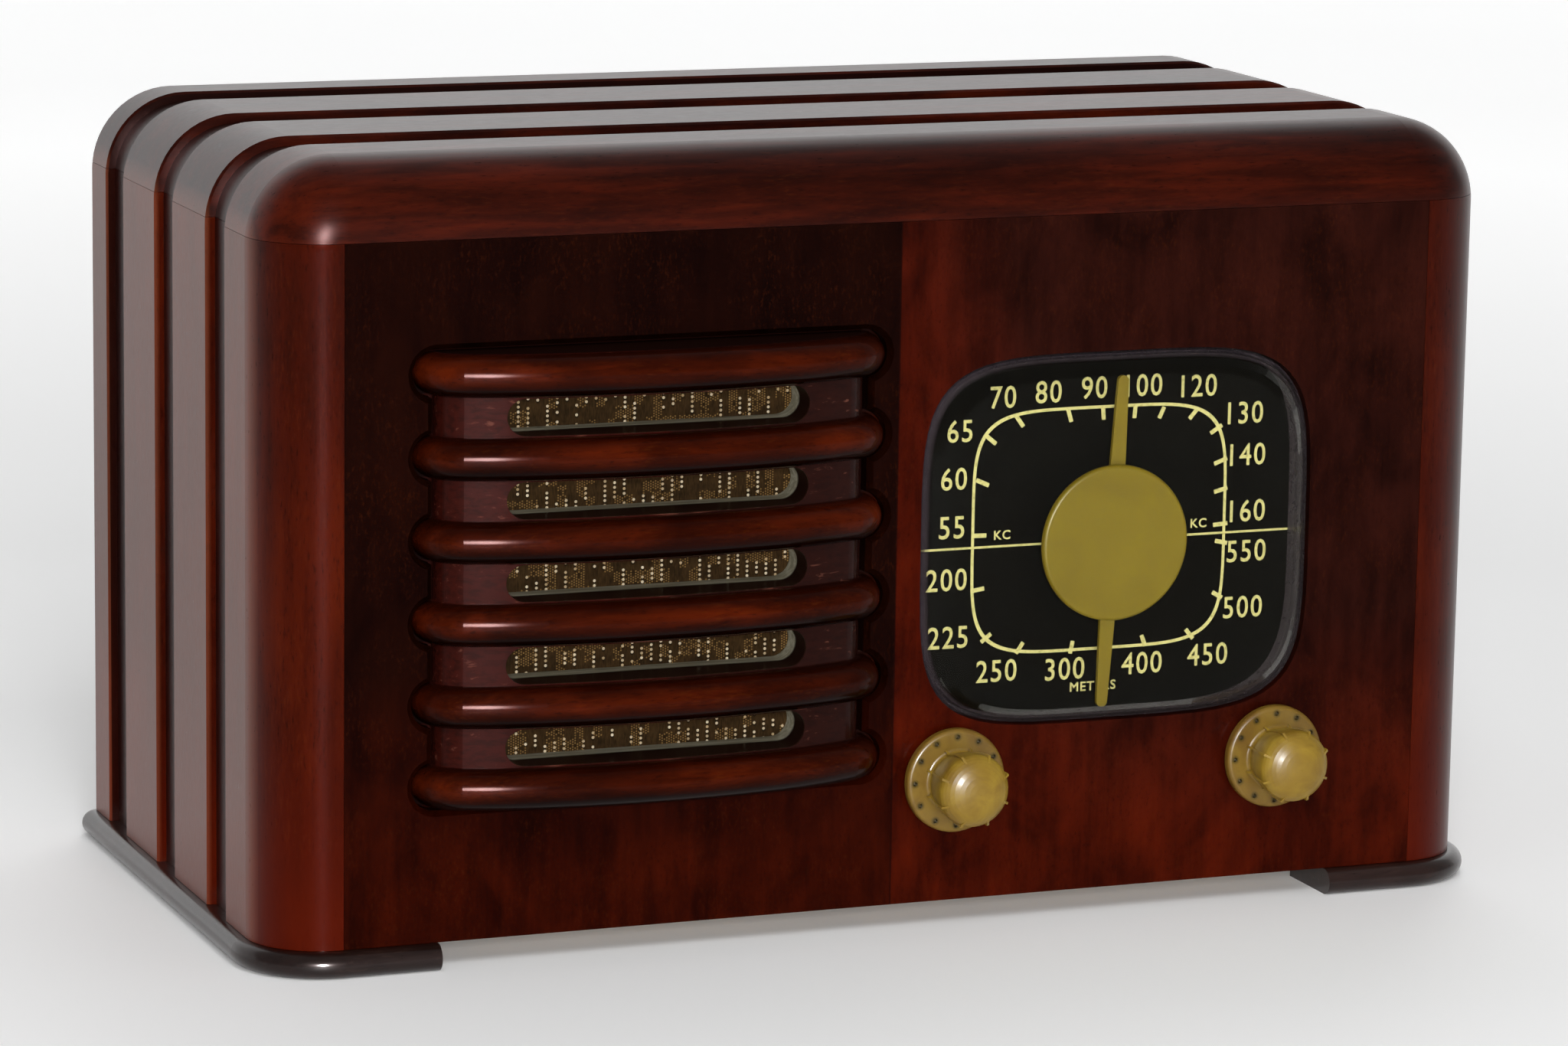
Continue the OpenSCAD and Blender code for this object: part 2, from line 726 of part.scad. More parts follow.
lamp_off = 28;
lamp_y = bracket_y + sheet_t + 5.2;

module lamp_sockets() color("#b7b2a2") placed() {
    for (s = [-1, 1]) post(open_x + s * lamp_off, lamp_y, open_z + 42, open_z + 54, 5);
}

module dial_lamps() color("#e8e2c8") placed() {
    for (s = [-1, 1]) translate([open_x + s * lamp_off, lamp_y, open_z + 33]) {
        cylinder(r = 4, h = 8.8);
        sphere(r = 4);
    }
}

// Pointer, drum and tuning capacitor

// Pointer arm, upright from the shaft to its round tip
module arm_outline() {
    tip = arm_tip_w / 2;
    end = arm_reach - tip;
    root = tip + (arm_w / 2 - tip) * end / (end - disc_r);
    polygon([[-root, 0], [root, 0], [tip, end], [-tip, end]]);
    translate([0, arm_reach - tip]) circle(r = tip);
}

module pointer() color("#8b8434") placed() {
    round = 1;
    rim = 1.6;
    difference() {
        union() {
            facing(pointer_x, disc_front + disc_t, pointer_z) rotate_extrude($fn = 96) polygon(concat(
                [[0, 0], [disc_r - 1.6, 0], [disc_r - 1.6, disc_t - rim], [disc_r, disc_t - rim]],
                [for (a = [0:15:90]) [disc_r - round + round * cos(a), disc_t - round + round * sin(a)]],
                [[0, disc_t]]
            ));
            facing(pointer_x, arm_y + arm_t, pointer_z) for (a = [0, 180])
                rotate([0, 0, a - pointer_lean]) linear_extrude(arm_t) arm_outline();
            rod(pointer_x, pointer_z, disc_front + disc_t - eps, plate_y - 0.3, shaft_r + 1.6);
        }
        rod(pointer_x, pointer_z, disc_front + 1.5, plate_y, shaft_r + shaft_fit);
    }
}

// Half-round rotor plate that hangs below the shaft at rest
module rotor_plate() {
    difference() {
        circle(r = rotor_r);
        translate([-rotor_r - eps, 0]) square([2 * (rotor_r + eps), rotor_r + eps]);
    }
}

// Depth of the front of bank number b
function bank_y(b) = gang_y + frame_t + b * bank_len + 2;

module gang_rotor() color("#c9cac6") placed() {
    rod(pointer_x, pointer_z, disc_front + 2, gang_y + gang_len + 3, shaft_r);
    for (b = [0:bank_count - 1]) {
        rod(pointer_x, pointer_z, bank_y(b), bank_y(b) + bank_len - 4, shaft_r + 2);
        for (k = [0:rotor_plates - 1]) {
            y = bank_y(b) + (k + 0.5) * plate_pitch;
            slab(y - plate_t / 2, y + plate_t / 2) translate([pointer_x, pointer_z]) rotor_plate();
        }
    }
}

module gang_stators() color("#c9cac6") placed() {
    hub = shaft_r + 2 + 1;
    for (b = [0:bank_count - 1], k = [0:rotor_plates]) {
        y = bank_y(b) + k * plate_pitch;
        slab(y - plate_t / 2, y + plate_t / 2) translate([pointer_x, pointer_z]) difference() {
            translate([1, -rotor_r + 1]) square([rotor_r + 4, 2 * (rotor_r - 1)]);
            circle(r = hub);
        }
    }
    for (s = [-1, 1]) rod(pointer_x + rod_x, pointer_z + s * rod_z,
        gang_y + frame_t + glue_gap, gang_y + gang_len - frame_t - glue_gap, 1.2);
}

module gang_frame() color("#a9aba6") placed() {
    width = gang_left + gang_right;
    x0 = pointer_x - gang_left;
    shields = [for (b = [1:bank_count - 1]) gang_y + frame_t + b * bank_len - 0.5];
    translate([x0, gang_y, gang_low - frame_t]) cube([width, gang_len, frame_t]);
    for (y = [gang_y, gang_y + gang_len - frame_t]) slab(y, y + frame_t) difference() {
        translate([x0, gang_low - frame_t]) square([width, gang_high - gang_low + frame_t]);
        translate([pointer_x, pointer_z]) circle(r = shaft_r + shaft_fit);
    }
    for (y = shields) slab(y, y + 1) difference() {
        translate([x0, gang_low - frame_t]) square([width, gang_high - gang_low - 4]);
        translate([pointer_x, pointer_z]) circle(r = shaft_r + 3);
        for (s = [-1, 1]) translate([pointer_x + rod_x, pointer_z + s * rod_z]) circle(r = 2);
    }
}

module gang_posts() color("#3a2f28") placed() {
    for (x = [pointer_x - gang_left + 7, pointer_x + gang_right - 7], y = [gang_y + 7, gang_y + gang_len - 7])
        post(x, y, deck_z + glue_gap, gang_low - frame_t - glue_gap, 4.5);
}

module cord_drum() color("#b59a5a") placed() {
    groove = 2.4;
    difference() {
        facing(pointer_x, drum_y + drum_w / 2, pointer_z) rotate_extrude($fn = 96) polygon([
            [shaft_r + shaft_fit, -3], [shaft_r + 4, -3], [shaft_r + 4, 1], [drum_r - 4, 1],
            [drum_r - 4, 0], [drum_r + rim_h, 0], [drum_r + rim_h, (drum_w - groove) / 2],
            [drum_r, (drum_w - groove) / 2], [drum_r, (drum_w + groove) / 2],
            [drum_r + rim_h, (drum_w + groove) / 2], [drum_r + rim_h, drum_w], [drum_r - 4, drum_w],
            [drum_r - 4, 3], [shaft_r + 4, 3], [shaft_r + 4, drum_w], [shaft_r + shaft_fit, drum_w]
        ]);
        for (a = [30:60:330]) rod(pointer_x + 17 * cos(a), pointer_z + 17 * sin(a), 0, gang_y, 5);
    }
}

// Points of a belt laid round the drum and the spindle with radii r1 and r2
function belt(r1, r2) = concat(
    [for (k = [0:60]) let (t = cord_dir + cord_lean + k * (360 - 2 * cord_lean) / 60)
        [r1 * cos(t), r1 * sin(t)]],
    [for (k = [0:24]) let (t = cord_dir - cord_lean + k * 2 * cord_lean / 24)
        [cord_dx + r2 * cos(t), cord_dz + r2 * sin(t)]]
);

// Cord: round the drum, down to the spindle, round it and back
module dial_cord() color("#d8c9a0") placed() {
    h = cord_d / 2;
    slab(drum_y - h, drum_y + h) translate([pointer_x, pointer_z]) difference() {
        polygon(belt(cord_r1 + h, cord_r2 + h));
        polygon(belt(cord_r1 - h, cord_r2 - h));
    }
}

// Knobs and controls

// Half section of the knob, from its back at height 0
module knob_section() {
    edge = 1.2;
    polygon(concat(
        [[0, 0], [flange_r - 0.6, 0], [flange_r, 0.6]],
        [for (a = [0:15:90]) [flange_r - edge + edge * cos(a), flange_t - edge + edge * sin(a)]],
        [for (a = [0:15:90]) [grip_r0 + 1 - sin(a), flange_t + 1 - cos(a)]],
        grip_side(0),
        [for (a = [9:9:90]) [grip_r1 * cos(a), bulge_h + (flange_t + grip_len - bulge_h) * sin(a)]]
    ));
}

bulge_h = flange_t + grip_len * 0.68;

// Side of the grip from its foot to its widest place, moved out by d
function grip_side(d) = [
    for (k = [1:8]) let (s = k / 8)
        [grip_r0 + d + (grip_r1 - grip_r0) * sin(90 * s), flange_t + 1 + s * (bulge_h - flange_t - 1)]
];

// Outline of one fin, from inside the grip to its sharp front point
module fin_outline() {
    polygon(concat(
        [[grip_r0 - 2, flange_t], [grip_r0 + fin_h + 1, flange_t]],
        grip_side(fin_h),
        [[grip_r1 + fin_h, bulge_h + 1.2], [grip_r1 - 1.2, bulge_h + 2.6], [grip_r0 - 2, bulge_h + 2]]
    ));
}

module knob() {
    difference() {
        union() {
            rotate_extrude($fn = 96) knob_section();
            for (k = [0:fin_count - 1]) rotate([90, 0, (k + 0.5) * 360 / fin_count])
                linear_extrude(fin_t, center = true) fin_outline();
        }
        translate([0, 0, -eps]) cylinder(r = shaft_r + shaft_fit, h = knob_bore + eps);
        for (k = [0:dimple_count - 1]) rotate([0, 0, k * 360 / dimple_count])
            translate([flange_r - 2, 0, flange_t - dimple_h]) cylinder(r = 0.6, h = 2, $fn = 24);
    }
}

module tuning_knob() color("#b8a64e") placed() facing(tune_x, -knob_gap, knob_z) knob();

module volume_knob() color("#b8a64e") placed() facing(vol_x, -knob_gap, knob_z) knob();

shaft_front = -knob_gap - knob_bore + 0.5;
bush_end = chassis_y + 8;

module tuning_shaft() color("#c9cac6") placed() {
    rod(tune_x, knob_z, shaft_front, bush_end + 1.5, shaft_r);
    rod(tune_x, knob_z, drum_y - 3, drum_y + 3, spool_r);
    rod(tune_x, knob_z, drum_y - 4, drum_y - 3, spool_r + 1.4);
    rod(tune_x, knob_z, drum_y + 2, drum_y + 3, spool_r + 1.4);
    rod(tune_x, knob_z, bush_end + 0.3, bush_end + 1.3, shaft_r + 1.4);
}

module tuning_bush() color("#b9a46a") placed() {
    difference() {
        union() {
            rod(tune_x, knob_z, chassis_y - 4, bush_end, bush_r);
            rod(tune_x, knob_z, apron_in + glue_gap, apron_in + 1.5, nut_r);
        }
        rod(tune_x, knob_z, chassis_y - 5, bush_end + eps, shaft_r + shaft_fit);
    }
}

module volume_shaft() color("#c9cac6") placed() {
    rod(vol_x, knob_z, shaft_front, apron_in + 8, shaft_r);
}

module volume_control() color("#6d5b3c") placed() {
    difference() {
        union() {
            rod(vol_x, knob_z, chassis_y - 5, apron_in + 1, bush_r);
            rod(vol_x, knob_z, apron_in + glue_gap, apron_in + 11, 12);
            rod(vol_x, knob_z, apron_in + 11, apron_in + 20, 11);
        }
        rod(vol_x, knob_z, chassis_y - 6, apron_in + 9, shaft_r + shaft_fit);
    }
}

module control_nuts() color("#b9a46a") placed() {
    for (x = [vol_x, tune_x]) difference() {
        facing(x, chassis_y - glue_gap, knob_z) cylinder(r = nut_r, h = 2, $fn = 6);
        rod(x, knob_z, chassis_y - 3, chassis_y + eps, bush_r + glue_gap);
    }
}

// Loudspeaker

module speaker_frame() color("#3c3f3d") placed() {
    cup = magnet_y - speaker_y;
    neck = magnet_r - 1;
    difference() {
        facing(grille_x, speaker_y, grille_z) rotate_extrude($fn = 96) polygon([
            [cone_r + 1.5, 0], [speaker_r, 0], [speaker_r, -flange_sheet],
            [cone_r + 5.2, -flange_sheet], [neck, -cup + 1.2], [neck, -cup + 0.1],
            [gap_out + 1, -cup + 0.1], [gap_out + 1, -cup + 1.2],
            [neck - 1.5, -cup + 1.2], [cone_r + 3.8, -flange_sheet], [cone_r + 1.5, -flange_sheet]
        ]);
        for (a = [0:90:270]) facing(grille_x, speaker_y + 15, grille_z) rotate([0, 0, a])
            translate([48, 0, 0]) rotate([0, 90, 0]) cylinder(r = 13, h = 60, center = true);
        for (p = speaker_bolt_places()) rod(p[0], p[1], speaker_y - eps, speaker_y + 12, speaker_bolt_r + 0.15);
    }
}

module speaker_surround() color("#231f1b") placed() {
    facing(grille_x, surround_y + 1.2, grille_z) difference() {
        cylinder(r = cone_r + 2.6, h = 1.2, $fn = 96);
        translate([0, 0, -eps]) cylinder(r = cone_r + 0.3, h = 2.2, $fn = 96);
    }
}

module speaker_cone() color("#4c443a") placed() {
    facing(grille_x, surround_y, grille_z) rotate_extrude($fn = 96) polygon([
        [cone_r, 0], [cone_r, -cone_t], [cone_r - 1, -cone_t],
        [coil_out, -cone_depth], [coil_r, -cone_depth],
        [coil_r, cone_t - cone_depth], [coil_out, cone_t - cone_depth], [cone_r - 1, 0]
    ]);
}

module voice_coil() color("#a5622c") placed() {
    dust = surround_y + cone_depth + 0.3;
    difference() {
        rod(grille_x, grille_z, dust, magnet_y + 8, coil_out);
        rod(grille_x, grille_z, dust + 1, magnet_y + 9, coil_r);
    }
}

module speaker_spider() color("#a58a4c") placed() {
    y = magnet_y - 5;
    facing(grille_x, y + 1, grille_z) difference() {
        cylinder(r = magnet_r - 3, h = 1);
        translate([0, 0, -eps]) cylinder(r = coil_out + 0.3, h = 2);
    }
    facing(grille_x, magnet_y - 1.3, grille_z) difference() {
        cylinder(r = magnet_r - 3, h = 3.5);
        translate([0, 0, -eps]) cylinder(r = magnet_r - 5, h = 5);
    }
}

module speaker_magnet() color("#2f3230") placed() {
    difference() {
        rod(grille_x, grille_z, magnet_y, magnet_y + magnet_len, magnet_r);
        difference() {
            rod(grille_x, grille_z, magnet_y - eps, magnet_y + 11, gap_out);
            rod(grille_x, grille_z, magnet_y - 2 * eps, magnet_y + 12, gap_in);
        }
    }
}

module output_transformer() color("#4a4a46") placed() {
    y = magnet_y + 2;
    z = grille_z + magnet_r - 4;
    difference() {
        union() {
            translate([grille_x - transformer_w / 2, y, z]) cube([transformer_w, transformer_l, 6.5]);
            translate([grille_x - transformer_w / 2 + 4, y + 7, z + 6])
                cube([transformer_w - 8, transformer_l - 14, transformer_h]);
            translate([grille_x - 11, y + 1, z + 12]) cube([22, transformer_l - 2, transformer_h - 12]);
        }
        rod(grille_x, grille_z, magnet_y, magnet_y + magnet_len + eps, magnet_r + glue_gap);
    }
}

module speaker_bolts() color("#b9a46a") placed() {
    for (p = speaker_bolt_places()) {
        rod(p[0], p[1], baffle_y + 0.2, baffle_y + 1.3, 3.8);
        rod(p[0], p[1], baffle_y + 0.2, speaker_y + 5.5, speaker_bolt_r);
        facing(p[0], speaker_y + flange_sheet + glue_gap + 2.4, p[1]) cylinder(r = 3, h = 2.4, $fn = 6);
    }
}

// Chassis and what stands on it

module chassis_outline(in) {
    polygon([
        [-chassis_half + in, chassis_left_y + in], [step_x + in, chassis_left_y + in],
        [step_x + in, chassis_y + in], [chassis_half - in, chassis_y + in],
        [chassis_half - in, chassis_back - in], [-chassis_half + in, chassis_back - in]
    ]);
}

grommet_x = -chassis_half + 48;
grommet_z = chassis_z + 12;
grommet_r = 7;

module chassis_pan() color("#9b9d99") placed() {
    difference() {
        translate([0, 0, chassis_z]) linear_extrude(chassis_h) chassis_outline(0);
        translate([0, 0, chassis_z - eps]) linear_extrude(chassis_h - sheet_t + eps) chassis_outline(sheet_t);
        for (p = sockets) post(p[0], p[1], deck_z - 5, deck_z + eps, socket_r);
        for (x = [vol_x, tune_x]) rod(x, knob_z, chassis_y - eps, apron_in + eps, bush_r + glue_gap);
        rod(grommet_x, grommet_z, chassis_back - 5, chassis_back + eps, grommet_r);
    }
    for (p = tab_places) difference() {
        translate([p[0] - tab / 2, p[1] - tab / 2, chassis_z]) cube([tab, tab, sheet_t]);
        post(p[0], p[1], chassis_z - eps, chassis_z + 2 * sheet_t, bolt_r + 0.2);
    }
}

module chassis_bolts() color("#b9a46a") placed() {
    for (p = tab_places) {
        post(p[0], p[1], foot_h - 2.4, foot_h - glue_gap, bolt_head_r);
        post(p[0], p[1], foot_h - eps, chassis_z + 9, bolt_r);
        translate([p[0], p[1], chassis_z + sheet_t + glue_gap]) cylinder(r = 3.8, h = 2.6, $fn = 6);
    }
}

module cord_grommet() color("#1d1b19") placed() {
    difference() {
        union() {
            rod(grommet_x, grommet_z, chassis_back - sheet_t - 2, chassis_back - sheet_t - glue_gap, grommet_r + 2);
            rod(grommet_x, grommet_z, chassis_back - sheet_t - 1, chassis_back + 1, grommet_r - glue_gap);
            rod(grommet_x, grommet_z, chassis_back + glue_gap, chassis_back + 2, grommet_r + 2);
        }
        rod(grommet_x, grommet_z, chassis_back - 5, chassis_back + 5, 3.6);
    }
}

module tube_sockets() color("#3a2a1a") placed() {
    for (p = sockets) difference() {
        union() {
            post(p[0], p[1], deck_z + glue_gap, deck_z + glue_gap + socket_flange, socket_r + 2.5);
            post(p[0], p[1], deck_z - 7, deck_z + 1, socket_r - glue_gap);
        }
        post(p[0], p[1], deck_z - 8, tube_z, 4.2);
    }
}

module tube_bases() color("#241c18") placed() {
    for (p = sockets) {
        post(p[0], p[1], tube_z, tube_z + 14, 14.5);
        post(p[0], p[1], deck_z - 5, tube_z + eps, 4);
    }
}

// Glass of one tube, hollow, with a domed top
module bulb(r, h) {
    wall = 1;
    difference() {
        union() {
            cylinder(r = r, h = h - r);
            translate([0, 0, h - r]) sphere(r = r);
        }
        translate([0, 0, wall]) cylinder(r = r - wall, h = h - r - wall);
        translate([0, 0, h - r]) sphere(r = r - wall);
    }
}

glass_z = tube_z + 14 + glue_gap;
small_glass = [13.5, 52];
power_glass = [14.2, 66];

module tube_glass() color([0.8, 0.85, 0.85, 0.35]) placed() {
    for (p = small_tubes) translate([p[0], p[1], glass_z]) bulb(small_glass[0], small_glass[1]);
    for (p = power_tubes) translate([p[0], p[1], glass_z]) bulb(power_glass[0], power_glass[1]);
}

module tube_plates() color("#55575a") placed() {
    for (p = sockets) {
        post(p[0], p[1], glass_z + 1 + glue_gap, glass_z + 12, 5);
        post(p[0], p[1], glass_z + 11, glass_z + 36, 7.5);
    }
}

can_h = 62;

module if_cans() color("#b4b6b2") placed() {
    for (p = cans) {
        translate([p[0] - can_w / 2, p[1] - can_w / 2, deck_z + glue_gap]) cube([can_w, can_w, can_h]);
        for (s = [-1, 1]) post(p[0] + s * 7, p[1], deck_z + can_h - 1, deck_z + can_h + 2, 2);
    }
}

module filter_capacitor() color("#a8a9a4") placed() {
    translate([filter_place[0], filter_place[1], deck_z + glue_gap]) {
        cylinder(r = 15.5, h = 6);
        translate([0, 0, 5]) cylinder(r = 14, h = 68);
    }
}

module oscillator_coil() color("#8a5a28") placed() {
    translate([coil_place[0], coil_place[1], deck_z + glue_gap]) difference() {
        union() {
            cylinder(r = 8, h = 42);
            cylinder(r = 11, h = 2);
            translate([0, 0, 14]) cylinder(r = 10, h = 14);
        }
        translate([0, 0, -eps]) cylinder(r = 7, h = 43);
    }
}

module paper_capacitors() color("#c9a24e") placed() {
    r = 5.5;
    z = deck_z - sheet_t - r - glue_gap;
    for (k = [0:2]) translate([34, row_y - 36 - k * 16, z]) rotate([0, 90, 0]) cylinder(r = r, h = 44);
    for (k = [0:1]) translate([small_tubes[1][0] - 14, row_y - k * 11.5, deck_z - 7 - glue_gap - r])
        rotate([0, 90, 0]) cylinder(r = r, h = 38);
}

// Rear cover

loop_t = 1.5;

module loop_aerial() color("#7a3f1c") placed() {
    half_x = 122;
    half_z = 72;
    mid_z = (floor_z + inner_top) / 2;
    width = 15;
    slab(cover_y - glue_gap - loop_t, cover_y - glue_gap) translate([0, mid_z]) difference() {
        stadium_box(half_x, half_z, 24);
        stadium_box(half_x - width, half_z - width, 24 - width);
    }
}

// Rounded rectangle with half sizes a and b and corner radius r
module stadium_box(a, b, r) {
    square([2 * a, 2 * (b - r)], center = true);
    square([2 * (a - r), 2 * b], center = true);
    for (sx = [-1, 1], sz = [-1, 1]) translate([sx * (a - r), sz * (b - r)]) circle(r = r);
}

module rear_cover() color("#4a3524") placed() {
    half = inner_half + rabbet_w - 0.3;
    low = foot_h + 0.5;
    high = inner_top + rabbet_w - 0.3;
    mid_z = (floor_z + inner_top) / 2;
    difference() {
        slab(cover_y, cab_d) translate([-half, low]) square([2 * half, high - low]);
        for (s = [-1, 1], z = screw_z) rod(s * cleat_x, z, cover_y - eps, cab_d + eps, 1.7);
        for (r = [0:vent_rows - 1], k = [-4:4])
            rod(k * 22, mid_z + (r - (vent_rows - 1) / 2) * 20, cover_y - eps, cab_d + eps, vent_r);
        rod(grommet_x, grommet_z, cover_y - eps, cab_d + eps, 5);
        slab(cover_y - eps, cab_d + eps) translate([grommet_x - 5, low - eps])
            square([10, grommet_z - low + eps]);
    }
}

module rear_cover_screws() color("#b9a46a") placed() {
    for (s = [-1, 1], z = screw_z) {
        rod(s * cleat_x, z, cover_y - cleat_w + 3, cab_d + eps, 1.5);
        rod(s * cleat_x, z, cab_d + glue_gap, cab_d + 1.8, 3.4);
    }
}

top_board();
side_board_left();
side_board_right();
front_panel();
bottom_board();
rear_cleats();
glue_blocks();
foot_left();
foot_right();
grille_insert();
grille_cloth();
speaker_board();
dial_lens();
dial_plate();
dial_bracket();
lamp_sockets();
dial_lamps();
pointer();
gang_rotor();
cord_drum();
gang_frame();
gang_stators();
gang_posts();
dial_cord();
tuning_shaft();
tuning_knob();
tuning_bush();
volume_shaft();
volume_knob();
volume_control();
control_nuts();
speaker_frame();
speaker_magnet();
speaker_surround();
speaker_spider();
speaker_cone();
voice_coil();
output_transformer();
speaker_bolts();
board_screws();
chassis_pan();
chassis_bolts();
tube_sockets();
tube_bases();
tube_glass();
tube_plates();
if_cans();
filter_capacitor();
oscillator_coil();
paper_capacitors();
cord_grommet();
loop_aerial();
rear_cover();
rear_cover_screws();
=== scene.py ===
"""Looks for the wooden table radio: lacquered boards, louvred grille, round-cornered dial,
polished knobs and the works behind them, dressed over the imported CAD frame."""
from __future__ import annotations

import logging
import math
from dataclasses import dataclass, field, replace
from enum import Enum
from typing import Any

import bmesh
import bpy
from mathutils import Matrix, Vector


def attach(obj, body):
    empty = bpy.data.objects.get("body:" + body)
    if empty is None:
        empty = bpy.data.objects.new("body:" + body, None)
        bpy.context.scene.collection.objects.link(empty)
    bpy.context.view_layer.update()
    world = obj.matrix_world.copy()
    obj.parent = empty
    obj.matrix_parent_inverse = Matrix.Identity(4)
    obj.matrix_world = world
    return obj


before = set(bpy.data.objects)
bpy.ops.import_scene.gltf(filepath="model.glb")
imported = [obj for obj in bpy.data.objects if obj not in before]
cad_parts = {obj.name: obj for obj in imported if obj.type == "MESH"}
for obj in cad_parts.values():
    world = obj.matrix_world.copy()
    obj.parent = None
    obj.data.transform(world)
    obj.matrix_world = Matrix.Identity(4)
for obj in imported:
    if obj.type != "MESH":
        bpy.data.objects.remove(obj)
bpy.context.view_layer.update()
LOG = logging.getLogger("radio")

MM = 0.001
FACE_Y = -74.4
Pair = tuple[float, float]
Triple = tuple[float, float, float]
Socket = bpy.types.NodeSocket
BMesh = bmesh.types.BMesh


def behind(y: float) -> float:
    """Turn millimetres measured back from the panel's face into the frame's metres."""
    return (y + FACE_Y) * MM


def at(x: float, y: float, z: float) -> Vector:
    """Place in the frame's metres, with y in millimetres measured back from the panel's face."""
    return Vector((x * MM, behind(y), z * MM))


def srgb(code: str) -> Triple:
    """Turn a colour written as six hex digits into linear light."""
    parts = [int(code[k:k + 2], 16) / 255 for k in (0, 2, 4)]
    return tuple(c / 12.92 if c <= 0.04045 else ((c + 0.055) / 1.055) ** 2.4 for c in parts)


# Materials


class Grain(Enum):
    """Direction that a board's grain runs in."""

    ACROSS = "x"
    UPRIGHT = "z"


class Shade:
    """One node-based material while it is being put together."""

    def __init__(self, name: str) -> None:
        """Start a material.

        Args:
            name: The material's name.
        """
        self.material = bpy.data.materials.new(name)
        self.material.use_nodes = True
        self.tree = self.material.node_tree
        self.surface = self.tree.nodes["Principled BSDF"]
        self.place = self.tree.nodes.new("ShaderNodeTexCoord").outputs["Object"]

    def add(self, kind: str, out: int | str = 0, **values: Any) -> Socket:
        """Add a node and return one of its outputs.

        Args:
            kind: Node type without its ShaderNode prefix.
            out: Output to return.
            values: Sockets by name with spaces as underscores, sockets by number as s0, s1,
                and settings in lower case.

        Returns:
            The output socket.
        """
        node = self.tree.nodes.new("ShaderNode" + kind)
        for key, value in values.items():
            if key[0] == "s" and key[1:].isdigit():
                self.feed(node.inputs[int(key[1:])], value)
            elif key[0].isupper():
                self.feed(node.inputs[key.replace("_", " ")], value)
            else:
                setattr(node, key, value)
        return node.outputs[out]

    def feed(self, socket: Socket, value: Any) -> None:
        """Link a socket into an input, or write a plain value in it.

        Args:
            socket: The input.
            value: A socket, a number, a vector or a linear colour.
        """
        if isinstance(value, Socket):
            self.tree.links.new(value, socket)
        elif isinstance(value, tuple) and len(value) == 3 and socket.type == "RGBA":
            socket.default_value = (*value, 1.0)
        else:
            socket.default_value = value

    def put(self, **values: Any) -> None:
        """Feed the surface's own sockets, named with spaces as underscores."""
        for key, value in values.items():
            self.feed(self.surface.inputs[key.replace("_", " ")], value)

    def math(self, operation: str, a: Any, b: Any = 0.0, clamp: bool = False) -> Socket:
        """Work out a number from two others."""
        return self.add("Math", operation=operation, use_clamp=clamp, s0=a, s1=b)

    def line(self, value: Socket, gain: float, start: Any) -> Socket:
        """Multiply a number by a gain and add a start to it."""
        return self.math("ADD", self.math("MULTIPLY", value, gain), start)

    def length(self, a: Socket, b: Socket) -> Socket:
        """Length of a flat vector."""
        return self.math("SQRT", self.line(a, a, self.math("MULTIPLY", b, b)))

    def stretched(self, scale: Triple, shift: Triple = (0.0, 0.0, 0.0)) -> Socket:
        """Object coordinates stretched by a scale for each axis."""
        return self.add("Mapping", Vector=self.place, Scale=scale, Location=shift)

    def noise(self, vector: Socket, scale: float, detail: float = 3.0, rough: float = 0.5,
              warp: float = 0.0) -> Socket:
        """Noise between 0 and 1."""
        return self.add("TexNoise", "Fac", Vector=vector, Scale=scale, Detail=detail,
                        Roughness=rough, Distortion=warp)

    def ramp(self, fac: Socket, *stops: tuple[float, Triple]) -> Socket:
        """Colour ramp.

        Args:
            fac: The number that picks the colour.
            stops: Two or more places between 0 and 1 with their linear colours.

        Returns:
            The colour.
        """
        node = self.tree.nodes.new("ShaderNodeValToRGB")
        row = node.color_ramp.elements
        row[0].position, row[1].position = stops[0][0], stops[-1][0]
        row[0].color, row[1].color = (*stops[0][1], 1.0), (*stops[-1][1], 1.0)
        for place, colour in stops[1:-1]:
            row.new(place).color = (*colour, 1.0)
        self.tree.links.new(fac, node.inputs[0])
        return node.outputs[0]

    def mask(self, fac: Socket, low: float, high: float) -> Socket:
        """Spread the part of a number between low and high over 0 to 1."""
        return self.add("MapRange", Value=fac, From_Min=low, From_Max=high, clamp=True)

    def reach(self, length: Socket, band: Pair, start: float = 0.0) -> Socket:
        """Spread the part of a length inside a band in millimetres over 0 to 1."""
        return self.mask(length, (band[0] + start) * MM, (band[1] + start) * MM)

    def mix(self, fac: Any, a: Any, b: Any, blend: str = "MIX") -> Socket:
        """Mix two colours.

        Args:
            fac: Share of the second colour.
            a: The first colour.
            b: The second colour.
            blend: How the second goes over the first.

        Returns:
            The mixed colour.
        """
        node = self.tree.nodes.new("ShaderNodeMix")
        node.data_type, node.blend_type = "RGBA", blend
        for index, value in ((0, fac), (6, a), (7, b)):
            self.feed(node.inputs[index], value)
        return node.outputs[2]

    def tint(self, base: Any, code: str, where: Any, share: float = 1.0) -> Socket:
        """Lay a colour over another where a mask says so, at most by the share."""
        return self.mix(self.math("MULTIPLY", where, share), base, srgb(code))

    def split(self) -> tuple[Socket, ...]:
        """Object coordinates as three numbers in metres."""
        return tuple(self.add("SeparateXYZ", Vector=self.place).node.outputs)

    def relief(self, height: Socket, depth: float, strength: float = 1.0) -> None:
        """Raise a bump of the given depth in metres."""
        self.put(Normal=self.add("Bump", Height=height, Distance=depth, Strength=strength))


@dataclass(frozen=True)
class Finish:
    """Looks of one kind of surface, with the name of its material."""

    name: str

    def build(self) -> bpy.types.Material:
        """Build the material.

        Returns:
            The finished material.
        """
        shade = Shade(self.name)
        self.lay(shade)
        return shade.material

    def lay(self, s: Shade) -> None:
        """Lay the look on a new material, which each kind of surface does in its own way."""


